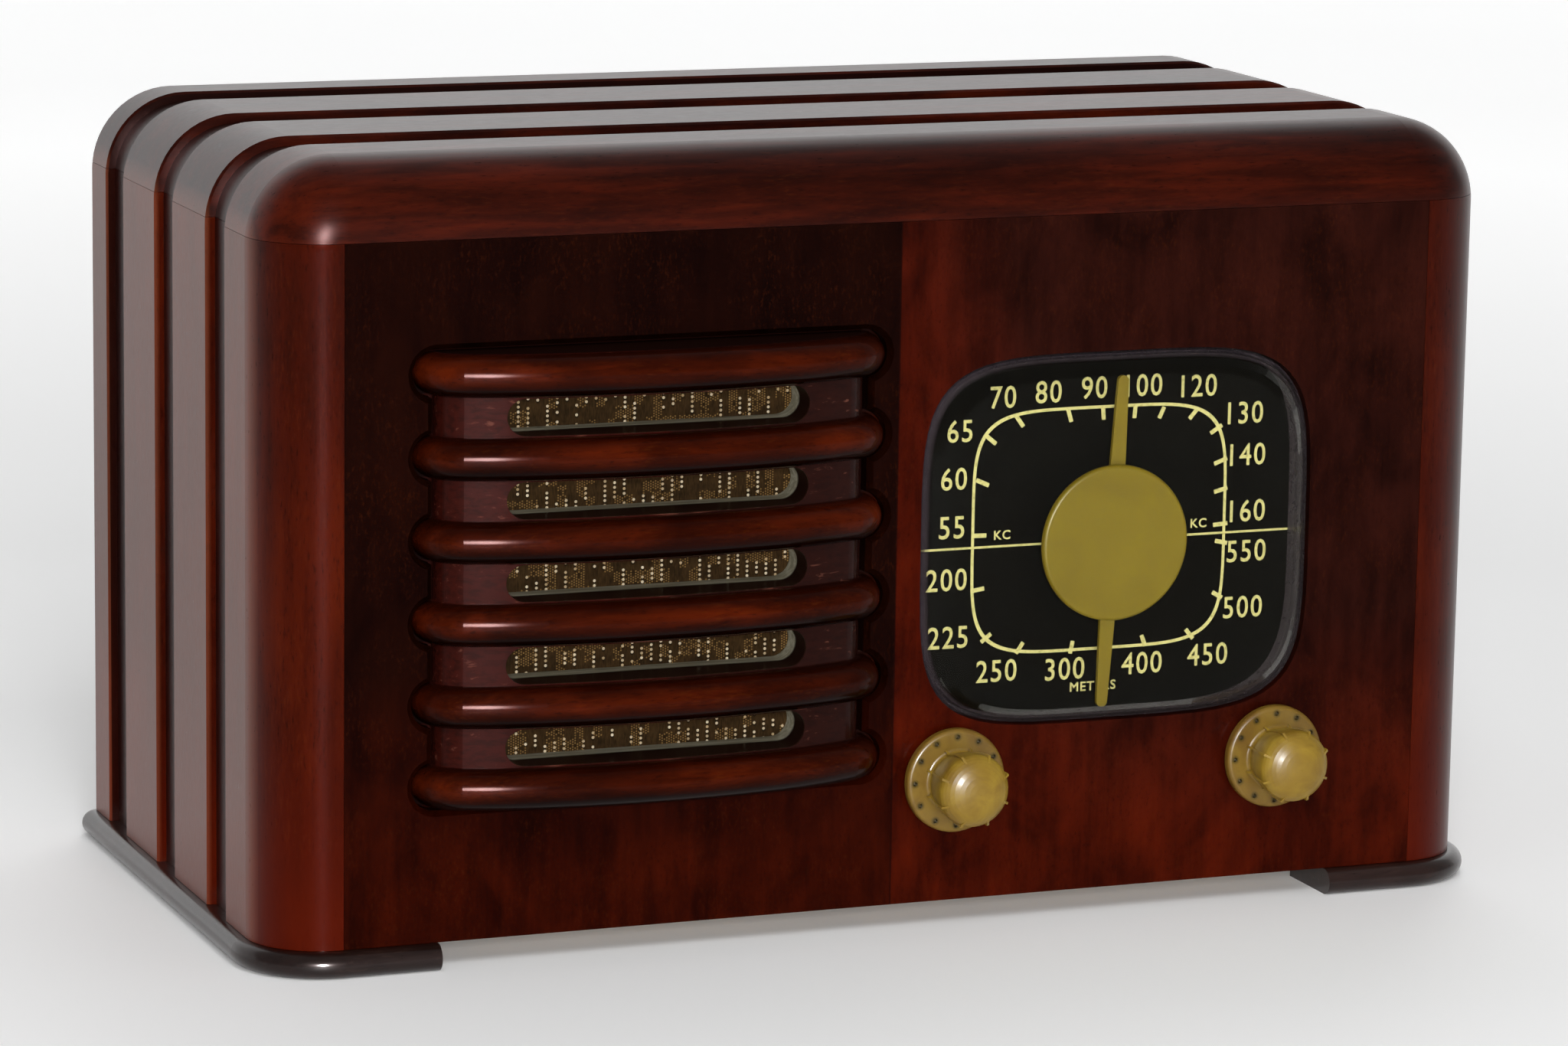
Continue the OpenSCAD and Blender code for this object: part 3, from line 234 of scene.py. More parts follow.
@dataclass(frozen=True)
class LacqueredWood(Finish):
    """Stained wood with open pores under a gloss lacquer.

    Attributes:
        figure, streaks, streak_scale: Scale of the clouds, share and scale of the streaks.
        fleck, patch_scale: Share of the pale flecks and scale of the patches they lie in.
        satin, specular, warmth: Roughness, strength and tint of the stain's own reflection.
        coat, gloss: Weight and roughness of the lacquer.
    """

    dark: str
    middle: str
    light: str
    grain: Grain = Grain.UPRIGHT
    figure: float = 22.0
    streaks: float = 0.38
    streak_scale: float = 240.0
    fleck: float = 0.5
    fleck_colour: str = "8a4a1c"
    patch_scale: float = 70.0
    pore: float = 0.5
    pore_run: float = 5.0
    pore_scale: float = 1500.0
    pore_depth: float = 0.00002
    pore_colour: str = "120402"
    satin: float = 0.3
    specular: float = 0.3
    warmth: str = "7c2a20"
    coat: float = 0.08
    gloss: float = 0.1
    shift: Triple = (0.0, 0.0, 0.0)

    def along(self, stretch: float) -> Triple:
        """Scale for each axis with the grain's direction drawn out by stretch."""
        return (1.0, 1.0, 1.0 / stretch) if self.grain is Grain.UPRIGHT else (1.0 / stretch, 1.0, 1.0)

    def lay(self, s: Shade) -> None:
        """Lay the look on.

        Args:
            s: The material in work.
        """
        pores = s.noise(s.stretched(self.along(self.pore_run), self.shift), self.pore_scale, 2.0, 0.6)
        patch = s.mask(s.noise(s.place, self.patch_scale, 2.0), 0.35, 0.65)
        wood = self.stain(s, self.figured(s))
        wood = s.tint(wood, self.fleck_colour, s.math("MULTIPLY", s.mask(pores, 0.54, 0.7), patch),
                      self.fleck)
        wood = s.tint(wood, self.pore_colour, s.mask(pores, 0.42, 0.28), self.pore)
        s.put(Base_Color=self.finished(s, wood), Roughness=self.polish(s, pores),
              Specular_IOR_Level=self.specular, Specular_Tint=srgb(self.warmth),
              Coat_Weight=self.coat, Coat_Roughness=self.gloss)
        s.relief(pores, self.pore_depth, 0.3)

    def figured(self, s: Shade) -> Socket:
        """Figure of the wood: soft clouds and finer streaks.

        Args:
            s: The material in work.

        Returns:
            A number around 0.5.
        """
        cloud = s.noise(s.stretched(self.along(1.6), self.shift), self.figure, 4.0, 0.55, 0.6)
        streak = s.noise(s.stretched(self.along(9.0), self.shift), self.streak_scale, 4.0, 0.6, 0.3)
        return s.line(cloud, 1.0 - self.streaks, s.math("MULTIPLY", streak, self.streaks))

    def stain(self, s: Shade, figure: Socket) -> Socket:
        """Colour of the stained wood for its figure."""
        return s.ramp(figure, (0.38, srgb(self.dark)), (0.5, srgb(self.middle)),
                      (0.63, srgb(self.light)))

    def finished(self, s: Shade, wood: Socket) -> Socket:
        """Last changes of the colour, none on a plain board."""
        return wood

    def polish(self, s: Shade, pores: Socket) -> Socket:
        """Roughness, a little higher where the pores' noise is high."""
        return s.line(pores, 0.12, self.satin - 0.06)


@dataclass(frozen=True)
class ChannelledWood(LacqueredWood):
    """Board with channels darkened by painted shade, paler along a low edge, and with a painted sheen on
    its flat side.

    Attributes:
        channel_start: Depth of the first channel.
        side_band, side_sheen: Where the flat side begins, and the colour of the painted sheen added
            there.
    """

    edge_z: float = 0.0
    edge_width: float = 8.0
    edge_colour: str = "661a06"
    channel_start: float = 38.0
    channel_width: float = 16.5
    channel_pitch: float = 48.0
    channel_shade: str = "140604"
    side_band: Pair = (168.6, 169.8)
    side_sheen: str = "502a1b"

    def finished(self, s: Shade, wood: Socket) -> Socket:
        """Warm the lower edge, paint a sheen on the flat side and paint shade in the channels.

        Args:
            s: The material in work.
            wood: The colour so far.

        Returns:
            The changed colour.
        """
        x, y, z = s.split()
        low = s.reach(z, (self.edge_z + self.edge_width, self.edge_z))
        wood = s.tint(wood, self.edge_colour, low, 0.7)
        # Painted sheen: a paler brown is added on the flat side in place of the light its lacquer
        # reflects.
        side = s.reach(s.math("ABSOLUTE", x), self.side_band)
        wood = s.mix(side, wood, srgb(self.side_sheen), "ADD")
        # Painted shade: the channels are darkened as if shade lay in them.
        start = behind(self.channel_start)
        phase = s.math("FLOORED_MODULO", s.math("SUBTRACT", y, start), self.channel_pitch * MM)
        inside = s.math("MULTIPLY", s.math("LESS_THAN", phase, self.channel_width * MM),
                        s.math("GREATER_THAN", y, start))
        return s.tint(wood, self.channel_shade, inside, 0.85)


@dataclass(frozen=True)
class PanelVeneer(LacqueredWood):
    """Two leaves of mottled veneer that meet in an upright joint, the left one far darker.

    Attributes:
        low_band, far_band, far_slant: Where the low and far colours come in, and how the far
            one leans.
        mottle: Least and greatest brightness of the figure.
    """

    left_low: str = "2a0701"
    right_far: str = "200905"
    right_low: str = "380b02"
    low_band: Pair = (78.0, 20.0)
    far_band: Pair = (30.0, 75.0)
    far_slant: float = 0.25
    joint_x: float = -1.0
    joint_half: float = 0.25
    joint_colour: str = "0c0302"
    mottle: Pair = (0.45, 1.75)

    def stain(self, s: Shade, figure: Socket) -> Socket:
        """Colour of both leaves.

        Args:
            s: The material in work.
            figure: The figure around 0.5.

        Returns:
            The colour of the veneer.
        """
        x, _, z = s.split()
        low = s.reach(z, self.low_band)
        far = s.reach(s.line(z, self.far_slant, x), self.far_band)
        left = s.mix(low, srgb(self.dark), srgb(self.left_low))
        right = s.mix(low, s.mix(far, srgb(self.light), srgb(self.right_far)), srgb(self.right_low))
        base = s.mix(s.reach(x, (self.joint_x - 0.2, self.joint_x + 0.2)), left, right)
        lift = s.add("MapRange", Value=figure, From_Min=0.36, From_Max=0.66, To_Min=self.mottle[0],
                     To_Max=self.mottle[1], clamp=True)
        base = s.mix(1.0, base, s.add("CombineXYZ", X=lift, Y=lift, Z=lift), "MULTIPLY")
        joint = s.add("Math", operation="COMPARE", s0=x, s1=self.joint_x * MM, s2=self.joint_half * MM)
        return s.tint(base, self.joint_colour, joint, 0.55)


@dataclass(frozen=True)
class CarvedWood(LacqueredWood):
    """Wood of the grille: bright bars, duller wood between them, raw edges in the slots.

    Attributes:
        first_bar, crest: Height of the lowest bar's axis, and depth of the bars' front.
        bow: Pairs of distance from the middle and drop behind the crest.
        upper_band, lower_band, wall_band: Heights over a bar's axis, and depths behind its
        crest, where shade is painted.
    """

    middle_x: float = -68.0
    first_bar: float = 47.425
    pitch: float = 21.15
    gaps: int = 5
    bar_r: float = 5.45
    crest: float = -10.9
    bow_half: float = 60.0
    bow_drop: float = 16.0
    bow: tuple[Pair, ...] = ((0.0, 0.0), (20.0, 0.85), (35.0, 2.4), (42.5, 4.2), (49.4, 6.5),
                             (54.0, 8.1), (56.4, 9.8), (57.8, 15.0), (60.0, 16.0))
    slot_half: float = 45.0
    raw_band: Pair = (-0.6, 0.4)
    upper_band: Pair = (2.2, 5.2)
    lower_band: Pair = (0.2, -3.2)
    wall_band: Pair = (0.2, 1.0)
    upper_flank_shade: str = "100301"
    lower_flank_shade: str = "060100"
    slot_wall_shade: str = "150805"
    left_wood: str = "2f0d08"
    right_wood: str = "220c08"
    dark_streak: str = "160705"
    pale_streak: str = "7a4a3c"
    raw_dark: str = "8e8a76"
    raw_light: str = "b2ae9a"

    def away(self, s: Shade) -> Socket:
        """Distance from the grille's middle as a share of the bow's half width."""
        across = s.math("SUBTRACT", s.split()[0], self.middle_x * MM)
        return s.math("DIVIDE", s.math("ABSOLUTE", across), self.bow_half * MM)

    def depth(self, s: Shade) -> Socket:
        """Depth of a place behind the bowed crest of the bars, in metres."""
        drop = s.ramp(self.away(s), *((u / self.bow_half, (d / self.bow_drop,) * 3) for u, d in self.bow))
        return s.math("SUBTRACT", s.split()[1], s.line(drop, self.bow_drop * MM, behind(self.crest)))

    def height(self, s: Shade) -> Socket:
        """Height of a place over the axis of the nearest bar, below it negative, in metres."""
        lifted = s.math("ADD", s.split()[2], (self.pitch / 2 - self.first_bar) * MM)
        return s.math("SUBTRACT", s.math("FLOORED_MODULO", lifted, self.pitch * MM), self.pitch / 2 * MM)

    def finished(self, s: Shade, wood: Socket) -> Socket:
        """Painted shade on the bars' flanks and the slot walls, dull wood between the bars and raw slot
        edges.

        Args:
            s: The material in work.
            wood: The colour so far.

        Returns:
            The changed colour.
        """
        height = self.height(s)
        from_bar = s.math("ABSOLUTE", height)
        streak = s.noise(s.stretched((0.07, 1.0, 1.0), self.shift), 700.0, 4.0, 0.6, 0.4)
        # Painted shade on the upper and lower flanks of each bar.
        wood = s.tint(wood, self.upper_flank_shade, s.reach(height, self.upper_band), 0.7)
        wood = s.tint(wood, self.lower_flank_shade, s.reach(height, self.lower_band), 0.93)
        between = s.math("GREATER_THAN", from_bar, (self.bar_r - 0.05) * MM)
        wood = s.mix(between, wood, self.flat(s, streak))
        # Painted shade on the slot walls behind the bars.
        wood = s.tint(wood, self.slot_wall_shade, s.reach(self.depth(s), self.wall_band))
        raw = s.mix(s.mask(streak, 0.4, 0.6), srgb(self.raw_dark), srgb(self.raw_light))
        return s.mix(self.raw(s, from_bar), wood, raw)

    def flat(self, s: Shade, streak: Socket) -> Socket:
        """Colour of the dull wood between the bars.

        Args:
            s: The material in work.
            streak: Noise drawn out along the wood.

        Returns:
            The colour.
        """
        right = s.reach(s.split()[0], (self.middle_x, self.middle_x + 1.0))
        wood = s.mix(right, srgb(self.left_wood), srgb(self.right_wood))
        wood = s.tint(wood, self.dark_streak, s.mask(streak, 0.52, 0.36), 0.6)
        return s.tint(wood, self.pale_streak, s.mask(streak, 0.62, 0.72), 0.4)

    def raw(self, s: Shade, from_bar: Socket) -> Socket:
        """Where the slots' raw edges show.

        Args:
            s: The material in work.
            from_bar: Distance from the nearest bar's axis.

        Returns:
            The mask.
        """
        _, y, z = s.split()
        half = self.gaps / 2 * self.pitch
        aside = s.math("LESS_THAN", self.away(s), self.slot_half / self.bow_half)
        clear = s.math("GREATER_THAN", from_bar, (self.bar_r + 0.15) * MM)
        off = s.math("ABSOLUTE", s.math("SUBTRACT", z, (self.first_bar + half) * MM))
        inner = s.math("MULTIPLY", s.math("MULTIPLY", aside, clear), s.math("LESS_THAN", off, half * MM))
        return s.math("MULTIPLY", s.reach(y, self.raw_band, FACE_Y), inner)

    def polish(self, s: Shade, pores: Socket) -> Socket:
        """Roughness, far higher on the walls beside the bars."""
        return s.line(s.reach(self.depth(s), (0.2, 0.6)), 0.45, self.satin)


@dataclass(frozen=True)
class Plain(Finish):
    """Painted, moulded or bare surface with mottling in two colours and a soft texture.

    Attributes:
        scale, bump, stretch: Scale, depth in metres and stretch of the texture.
    """

    colour: str
    second: str
    rough: float = 0.5
    metal: float = 0.0
    scale: float = 300.0
    bump: float = 0.00003
    coat: float = 0.0
    specular: float = 0.5
    stretch: Triple = (1.0, 1.0, 1.0)

    def lay(self, s: Shade) -> None:
        """Lay the look on.

        Args:
            s: The material in work.
        """
        fine = s.noise(s.stretched(self.stretch), self.scale, 4.0, 0.6)
        wide = s.noise(s.place, 25.0, 3.0)
        blend = s.line(fine, 0.6, s.math("MULTIPLY", wide, 0.4))
        s.put(Base_Color=s.ramp(blend, (0.35, srgb(self.colour)), (0.65, srgb(self.second))),
              Roughness=s.line(fine, 0.2, max(self.rough - 0.1, 0.02)),
              Metallic=self.metal, Specular_IOR_Level=self.specular)
        s.relief(fine, self.bump, 0.5)
        if self.coat:
            s.put(Coat_Weight=self.coat, Coat_Roughness=0.08)


@dataclass(frozen=True)
class AgedPlastic(Finish):
    """Aged ivory plastic that lets some light through, with grime in its surface.

    Attributes:
        pale, deep, scale: Colours and scale of its swirls.
        glow, radius: Share and reach in metres of the light that goes through.
    """

    pale: str
    deep: str
    gloss: float = 0.16
    glow: float = 0.25
    radius: float = 0.004
    scale: float = 120.0
    coat: float = 0.3
    grime: float = 0.2

    def lay(self, s: Shade) -> None:
        """Lay the look on.

        Args:
            s: The material in work.
        """
        swirl = s.noise(s.place, self.scale, 3.0, 0.5, 0.8)
        grime = s.noise(s.place, 900.0, 3.0, 0.7)
        tone = self.finished(s, s.ramp(swirl, (0.3, srgb(self.deep)), (0.66, srgb(self.pale))))
        s.put(Base_Color=s.tint(tone, "4a3a18", s.mask(grime, 0.6, 0.8), self.grime),
              Roughness=s.line(grime, 0.14, self.gloss), Specular_IOR_Level=0.25,
              Subsurface_Weight=self.glow, Subsurface_Radius=(1.0, 0.8, 0.3),
              Subsurface_Scale=self.radius, Coat_Weight=self.coat, Coat_Roughness=0.06)
        s.relief(grime, 0.00003, 0.25)

    def finished(self, s: Shade, tone: Socket) -> Socket:
        """Last changes of the colour, none on a plain piece."""
        return tone


@dataclass(frozen=True)
class KnobPlastic(AgedPlastic):
    """Plastic of the knobs, darker on their flanges, with painted shade round the dimples.

    Attributes:
        middle_x, half_gap, middle_z: Place halfway between the knobs, half their distance, height.
        dimples, ring: Number of dimples, and their distance from the knob's middle.
        spot: Outer and inner radius of the painted shade round a dimple.
    """

    flange_band: Pair = (-6.0, -3.5)
    flange_share: float = 0.65
    flange_colour: str = "5a3c16"
    middle_x: float = 61.6
    half_gap: float = 46.0
    middle_z: float = 39.8
    dimples: int = 12
    ring: float = 11.8
    spot: Pair = (1.35, 0.6)
    dimple_shade: str = "3c3208"

    def finished(self, s: Shade, tone: Socket) -> Socket:
        """Darken the flanges, and paint shade round the dimples.

        Args:
            s: The material in work.
            tone: The colour so far.

        Returns:
            The changed colour.
        """
        low = s.reach(s.split()[1], self.flange_band, FACE_Y)
        tone = s.tint(tone, self.flange_colour, low, self.flange_share)
        # Painted shade round each dimple.
        return s.tint(tone, self.dimple_shade, self.round_dimples(s), 0.8)

    def round_dimples(self, s: Shade) -> Socket:
        """Places round the dimples of either knob, worked out on one slice of its ring.

        Args:
            s: The material in work.

        Returns:
            The mask.
        """
        x, _, z = s.split()
        across = s.math("SUBTRACT", s.math("ABSOLUTE", s.math("SUBTRACT", x, self.middle_x * MM)),
                        self.half_gap * MM)
        up = s.math("SUBTRACT", z, self.middle_z * MM)
        away = s.length(across, up)
        half = math.pi / self.dimples
        turn = s.math("ADD", s.math("ARCTAN2", up, across), half)
        turn = s.math("SUBTRACT", s.math("FLOORED_MODULO", turn, 2 * half), half)
        out = s.math("SUBTRACT", s.math("MULTIPLY", away, s.math("COSINE", turn)), self.ring * MM)
        return s.reach(s.length(out, s.math("MULTIPLY", away, s.math("SINE", turn))), self.spot)


@dataclass(frozen=True)
class Dots:
    """Round dots on a leaning lattice, kept only in some places.

    Attributes:
        pitch: Distance between dots across and upwards in metres.
        lean: How far each column is lifted against the last, in pitches.
        size, core: Radius of a dot in upward pitches, and share of it at full strength.
        columns, rows, share: Size of a block of dots, and share of the blocks that are lost.
        missing: Share of the other dots that are lost.
    """

    pitch: Pair
    lean: float
    size: float
    share: float
    columns: float
    rows: float = 5.0
    missing: float = 0.18
    core: float = 0.72

    def spread(self, s: Shade, x: Socket, z: Socket) -> tuple[Socket, Socket]:
        """Lay the dots over a surface.

        Args:
            s: The material in work.
            x: The place across.
            z: The height.

        Returns:
            The dots as a mask and a random number for each dot.
        """
        place = s.math("DIVIDE", x, self.pitch[0])
        column = s.math("FLOOR", place)
        lift = s.math("ADD", s.math("DIVIDE", z, self.pitch[1]), s.math("MULTIPLY", column, self.lean))
        row = s.math("FLOOR", lift)
        across = s.math("MULTIPLY", s.math("SUBTRACT", s.math("FRACT", place), 0.5),
                        self.pitch[0] / self.pitch[1])
        away = s.length(across, s.math("SUBTRACT", s.math("FRACT", lift), 0.5))
        level = s.math("SUBTRACT", row, s.math("MULTIPLY", column, self.lean))
        block = self.chance(s, s.math("FLOOR", s.math("DIVIDE", column, self.columns)),
                            s.math("FLOOR", s.math("DIVIDE", level, self.rows)))
        single = self.chance(s, column, row)
        keep = s.math("MULTIPLY", s.math("GREATER_THAN", block, self.share),
                      s.math("GREATER_THAN", single, self.missing))
        return s.math("MULTIPLY", s.mask(away, self.size, self.size * self.core), keep), single

    def chance(self, s: Shade, across: Socket, up: Socket) -> Socket:
        """Random number for each pair of whole numbers."""
        return s.add("TexWhiteNoise", "Value", noise_dimensions="3D",
                     Vector=s.add("CombineXYZ", X=across, Z=up))


@dataclass(frozen=True)
class GrilleCloth(Finish):
    """Brown cloth with pale threads that surface as columns of dots and small slanted blocks, each big
    dot with a painted shadow below it.
    """

    name: str = "grille_cloth_weave"
    wide: Dots = Dots((0.0026, 0.00124), 0.37, 0.35, 0.42, 1.0)
    fine: Dots = Dots((0.00064, 0.00066), 0.5, 0.38, 0.62, 4.0)
    shadow_size: float = 0.42
    shadow_drop: float = 0.0004

    def lay(self, s: Shade) -> None:
        """Lay the look on.

        Args:
            s: The material in work.
        """
        x, _, z = s.split()
        big, tone = self.wide.spread(s, x, z)
        small, _ = self.fine.spread(s, x, z)
        # Painted shadow: a dark copy of the big dots, moved a little lower, laid under each pale dot.
        lower = s.math("ADD", z, self.shadow_drop)
        below, _ = replace(self.wide, size=self.shadow_size).spread(s, x, lower)
        thread = s.noise(s.stretched((1.0, 1.0, 0.2)), 2600.0, 2.0)
        patch = s.noise(s.place, 300.0, 2.0)
        cloth = s.ramp(s.line(thread, 0.6, s.math("MULTIPLY", patch, 0.4)),
                       (0.35, srgb("2a1d0e")), (0.65, srgb("44311a")))
        cloth = s.tint(cloth, "171008", below, 0.7)
        cloth = s.tint(cloth, "9c7a48", small, 0.65)
        pale = s.mix(tone, srgb("b4925e"), srgb("fbeaca"))
        s.put(Base_Color=s.mix(s.math("MULTIPLY", big, 0.9), cloth, pale), Roughness=0.85,
              Specular_IOR_Level=0.02)
        s.relief(s.math("ADD", thread, s.math("ADD", big, small)), 0.00012, 0.6)


@dataclass(frozen=True)
class ClearPlastic(Finish):
    """Thin clear plastic, hazy and scuffed only on its skirt inside the opening.

    Attributes:
        skirt_band, shoulder_band: Depths where the skirt and the rounded shoulder begin.
        shine, shoulder_shine: Share of the reflection on the face, and what the shoulder adds.
    """

    name: str = "dial_lens_clear"
    haze: str = "6c6068"
    scuffed: str = "2c262a"
    skirt_band: Pair = (-0.2, 1.2)
    shoulder_band: Pair = (-3.2, -2.0)
    shine: float = 0.06
    shoulder_shine: float = 0.04

    def lay(self, s: Shade) -> None:
        """Lay the look on.

        Args:
            s: The material in work.
        """
        y = s.split()[1]
        skirt = s.reach(y, self.skirt_band, FACE_Y)
        scuff = s.mask(s.noise(s.place, 520.0, 5.0, 0.7), 0.35, 0.75)
        s.put(Base_Color=s.mix(scuff, srgb(self.haze), srgb(self.scuffed)),
              Roughness=s.line(skirt, 0.3, 0.03))
        clear = s.add("BsdfTransparent", Color=(0.95, 0.955, 0.92, 1.0))
        glaze = s.add("BsdfGlossy", Color=(1.0, 1.0, 1.0, 1.0), Roughness=0.06)
        share = s.line(s.reach(y, self.shoulder_band, FACE_Y), self.shoulder_shine, self.shine)
        edge = s.math("MULTIPLY", s.add("Fresnel", IOR=1.45), share)
        thin = s.add("MixShader", s0=edge, s1=clear, s2=glaze)
        dusty = s.math("MULTIPLY", skirt, s.line(scuff, 0.35, 0.45))
        whole = s.add("MixShader", s0=dusty, s1=thin, s2=s.surface.outputs[0])
        s.feed(s.tree.nodes["Material Output"].inputs["Surface"], whole)


@dataclass(frozen=True)
class TubeGlass(Finish):
    """Thin clear glass."""

    name: str = "tube_glass_clear"

    def lay(self, s: Shade) -> None:
        """Lay the look on.

        Args:
            s: The material in work.
        """
        s.put(Base_Color=srgb("dfe6e6"), Roughness=s.line(s.noise(s.place, 300.0), 0.06, 0.02),
              Alpha=0.28, Specular_IOR_Level=0.8)


@dataclass(frozen=True)
class PrintedInk(Finish):
    """Printed ink, flat and slightly worn."""

    colour: str
    worn: str

    def lay(self, s: Shade) -> None:
        """Lay the look on.

        Args:
            s: The material in work.
        """
        wear = s.noise(s.place, 1400.0, 3.0, 0.6)
        s.put(Base_Color=s.ramp(wear, (0.3, srgb(self.worn)), (0.5, srgb(self.colour))),
              Roughness=0.6, Specular_IOR_Level=0.05)


PANEL_WOOD = PanelVeneer("panel_veneer", "0f0301", "381006", "3a0b02", figure=60.0, streaks=0.35,
                         fleck=0.14, fleck_colour="50220d", pore=0.3, pore_run=2.2, specular=0.16,
                         warmth="6c1a16", coat=0.02)
POST_WOOD = ChannelledWood("post_wood", "280802", "360b02", "461203", figure=16.0, fleck=0.3,
                           fleck_colour="54200c", specular=0.3, warmth="601a12", coat=0.04,
                           gloss=0.12, shift=(0.3, 0.0, 0.2), edge_z=7.0, edge_width=60.0,
                           edge_colour="501103")
RAIL_WOOD = ChannelledWood("rail_wood", "1c0502", "2d0a03", "441205", grain=Grain.ACROSS, figure=13.0,
                           streaks=0.55, fleck=0.3, fleck_colour="481d0a", specular=0.33,
                           warmth="601a12", coat=0.08, gloss=0.28, edge_z=178.0, edge_width=7.0,
                           edge_colour="561404")
BAR_WOOD = CarvedWood("bar_wood", "220601", "330c02", "4c1604", grain=Grain.ACROSS, figure=34.0,
                      fleck=0.2, fleck_colour="5c2a0c", satin=0.2, specular=0.14, warmth="7c2a20",
                      coat=0.055, gloss=0.17)
FOOT_WOOD = LacqueredWood("foot_wood", "0e0605", "1b0f0c", "2a1a16", grain=Grain.ACROSS, figure=18.0,
                          fleck=0.2, fleck_colour="4a362c", specular=0.4, warmth="8a7a78",
                          gloss=0.14, coat=0.45)
KNOB_PLASTIC = KnobPlastic("knob_ivory", "967a28", "775a1a", 0.28, 0.12, 0.0015, coat=0.035)
POINTER_PLASTIC = AgedPlastic("pointer_ivory", "877313", "7d6910", 0.34, 0.1, 0.0015, 60.0, 0.01, 0.05)
DIAL_BLACK = Plain("dial_black", "060402", "0b0805", 0.5, scale=900.0, bump=0.00001, specular=0.02)
DIAL_INK = PrintedInk("dial_ink", "e6dc98", "c0b46e")
BARE_WOOD = Plain("bare_wood", "8a6a42", "b2905e", 0.75, scale=160.0, stretch=(0.12, 1.0, 1.0),
                  bump=0.0001)
HARDBOARD = Plain("hardboard", "3e2c1c", "59402a", 0.8, scale=900.0, bump=0.0001)
FIBRE = Plain("fibre_cover", "33241a", "4d3728", 0.72, scale=700.0, bump=0.00012)
PLATED = Plain("plated_steel", "8e9090", "b0b2b0", 0.34, 1.0, 500.0, 0.00002)
BRASS = Plain("worn_brass", "8a6c34", "b89a58", 0.36, 1.0, 400.0, 0.00002)
ALUMINIUM = Plain("bright_aluminium", "b8bab8", "d4d6d4", 0.3, 1.0, 500.0, 0.00002)
CAN_METAL = Plain("drawn_can", "a4a6a4", "c4c6c4", 0.38, 1.0, 300.0, 0.00003)
CHASSIS_METAL = Plain("chassis_plate", "7e807c", "a2a49e", 0.45, 1.0, 220.0, 0.00003)
BASKET_PAINT = Plain("basket_paint", "2a2c2a", "3a3d3a", 0.55, scale=600.0)
MAGNET_PAINT = Plain("magnet_paint", "222422", "303230", 0.5, scale=500.0)
FELT = Plain("surround_felt", "1c1916", "2e2a25", 0.95, scale=1500.0, bump=0.0002)
SPIDER_CLOTH = Plain("spider_cloth", "8a6c36", "a98c50", 0.8, scale=1400.0, bump=0.0001)
CONE_PAPER = Plain("cone_paper", "3a332b", "52493e", 0.9, scale=1100.0, bump=0.00015)
COIL_WIRE = Plain("coil_wire", "8a4a22", "b46a34", 0.4, 0.6, 1500.0, 0.0001, stretch=(1.0, 6.0, 1.0))
STAMPINGS = Plain("transformer_stampings", "30302e", "4a4a46", 0.5, 0.4, 2200.0, 0.0001,
                  stretch=(0.1, 1.0, 0.1))
PHENOLIC = Plain("socket_phenolic", "2c1c10", "40291a", 0.5, scale=800.0)
TUBE_BASE = Plain("tube_base_black", "120e0c", "1e1815", 0.3, scale=700.0, coat=0.4)
TUBE_METAL = Plain("tube_plate_metal", "3a3c3e", "55585a", 0.5, 0.7, 900.0)
WAX = Plain("waxed_paper", "a5813c", "c9a866", 0.55, scale=500.0, coat=0.2)
FORMER = Plain("coil_former", "6a3f1e", "8a5a2c", 0.5, scale=1300.0, stretch=(0.3, 0.3, 3.0))
CERAMIC = Plain("lamp_socket", "9a9484", "bab4a2", 0.6, scale=600.0)
LAMP_GLASS = Plain("lamp_frosted", "d8d0b4", "efe9d2", 0.5, scale=400.0)
RUBBER = Plain("black_rubber", "121110", "1d1c1a", 0.75, scale=900.0)
LOOP_WIRE = Plain("loop_winding", "6b3618", "8f5226", 0.5, scale=900.0, stretch=(1.0, 1.0, 3.0))
CORD_FIBRE = Plain("dial_cord", "b8a878", "d6c89c", 0.8, scale=2500.0, bump=0.0001)
CONTROL_CASE = Plain("control_case", "4a3824", "63502f", 0.5, scale=700.0)


# Sub-assemblies

Table = tuple[tuple[Finish, tuple[str, ...]], ...]


def linked(name: str, data: bpy.types.ID) -> bpy.types.Object:
    """Put some data into the scene as an object.

    Args:
        name: Name of the object.
        data: Its mesh, curve, lamp or camera.

    Returns:
        The new object.
    """
    thing = bpy.data.objects.new(name, data)
    bpy.context.scene.collection.objects.link(thing)
    return thing


def finish_mesh(bm: BMesh, name: str, material: bpy.types.Material,
                sharp: float = 35.0) -> bpy.types.Object:
    """Turn a bmesh into a linked object with smooth faces and sharp edges where it folds.

    Args:
        bm: The mesh in work, which is freed.
        name: Name of the object.
        material: Its material.
        sharp: Fold in degrees past which an edge stays sharp.

    Returns:
        The new object.
    """
    bmesh.ops.remove_doubles(bm, verts=bm.verts, dist=1e-6)
    bmesh.ops.recalc_face_normals(bm, faces=bm.faces)
    for edge in bm.edges:
        edge.smooth = len(edge.link_faces) == 2 and edge.calc_face_angle(0.0) < math.radians(sharp)
    for face in bm.faces:
        face.smooth = True
    mesh = bpy.data.meshes.new(name)
    bm.to_mesh(mesh)
    bm.free()
    mesh.materials.append(material)
    return linked(name, mesh)


@dataclass
class Assembly:
    """CAD nodes that belong together, in a table of finishes with what each one dresses."""

    table: Table = ()

    def build(self) -> list[str]:
        """Dress the nodes.

        Returns:
            Names of the pieces in order.
        """
        for finish, names in self.table:
            material = finish.build()
            for name in names:
                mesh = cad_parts[name].data
                mesh.materials.clear()
                mesh.materials.append(material)
        return [name for _, names in self.table for name in names]


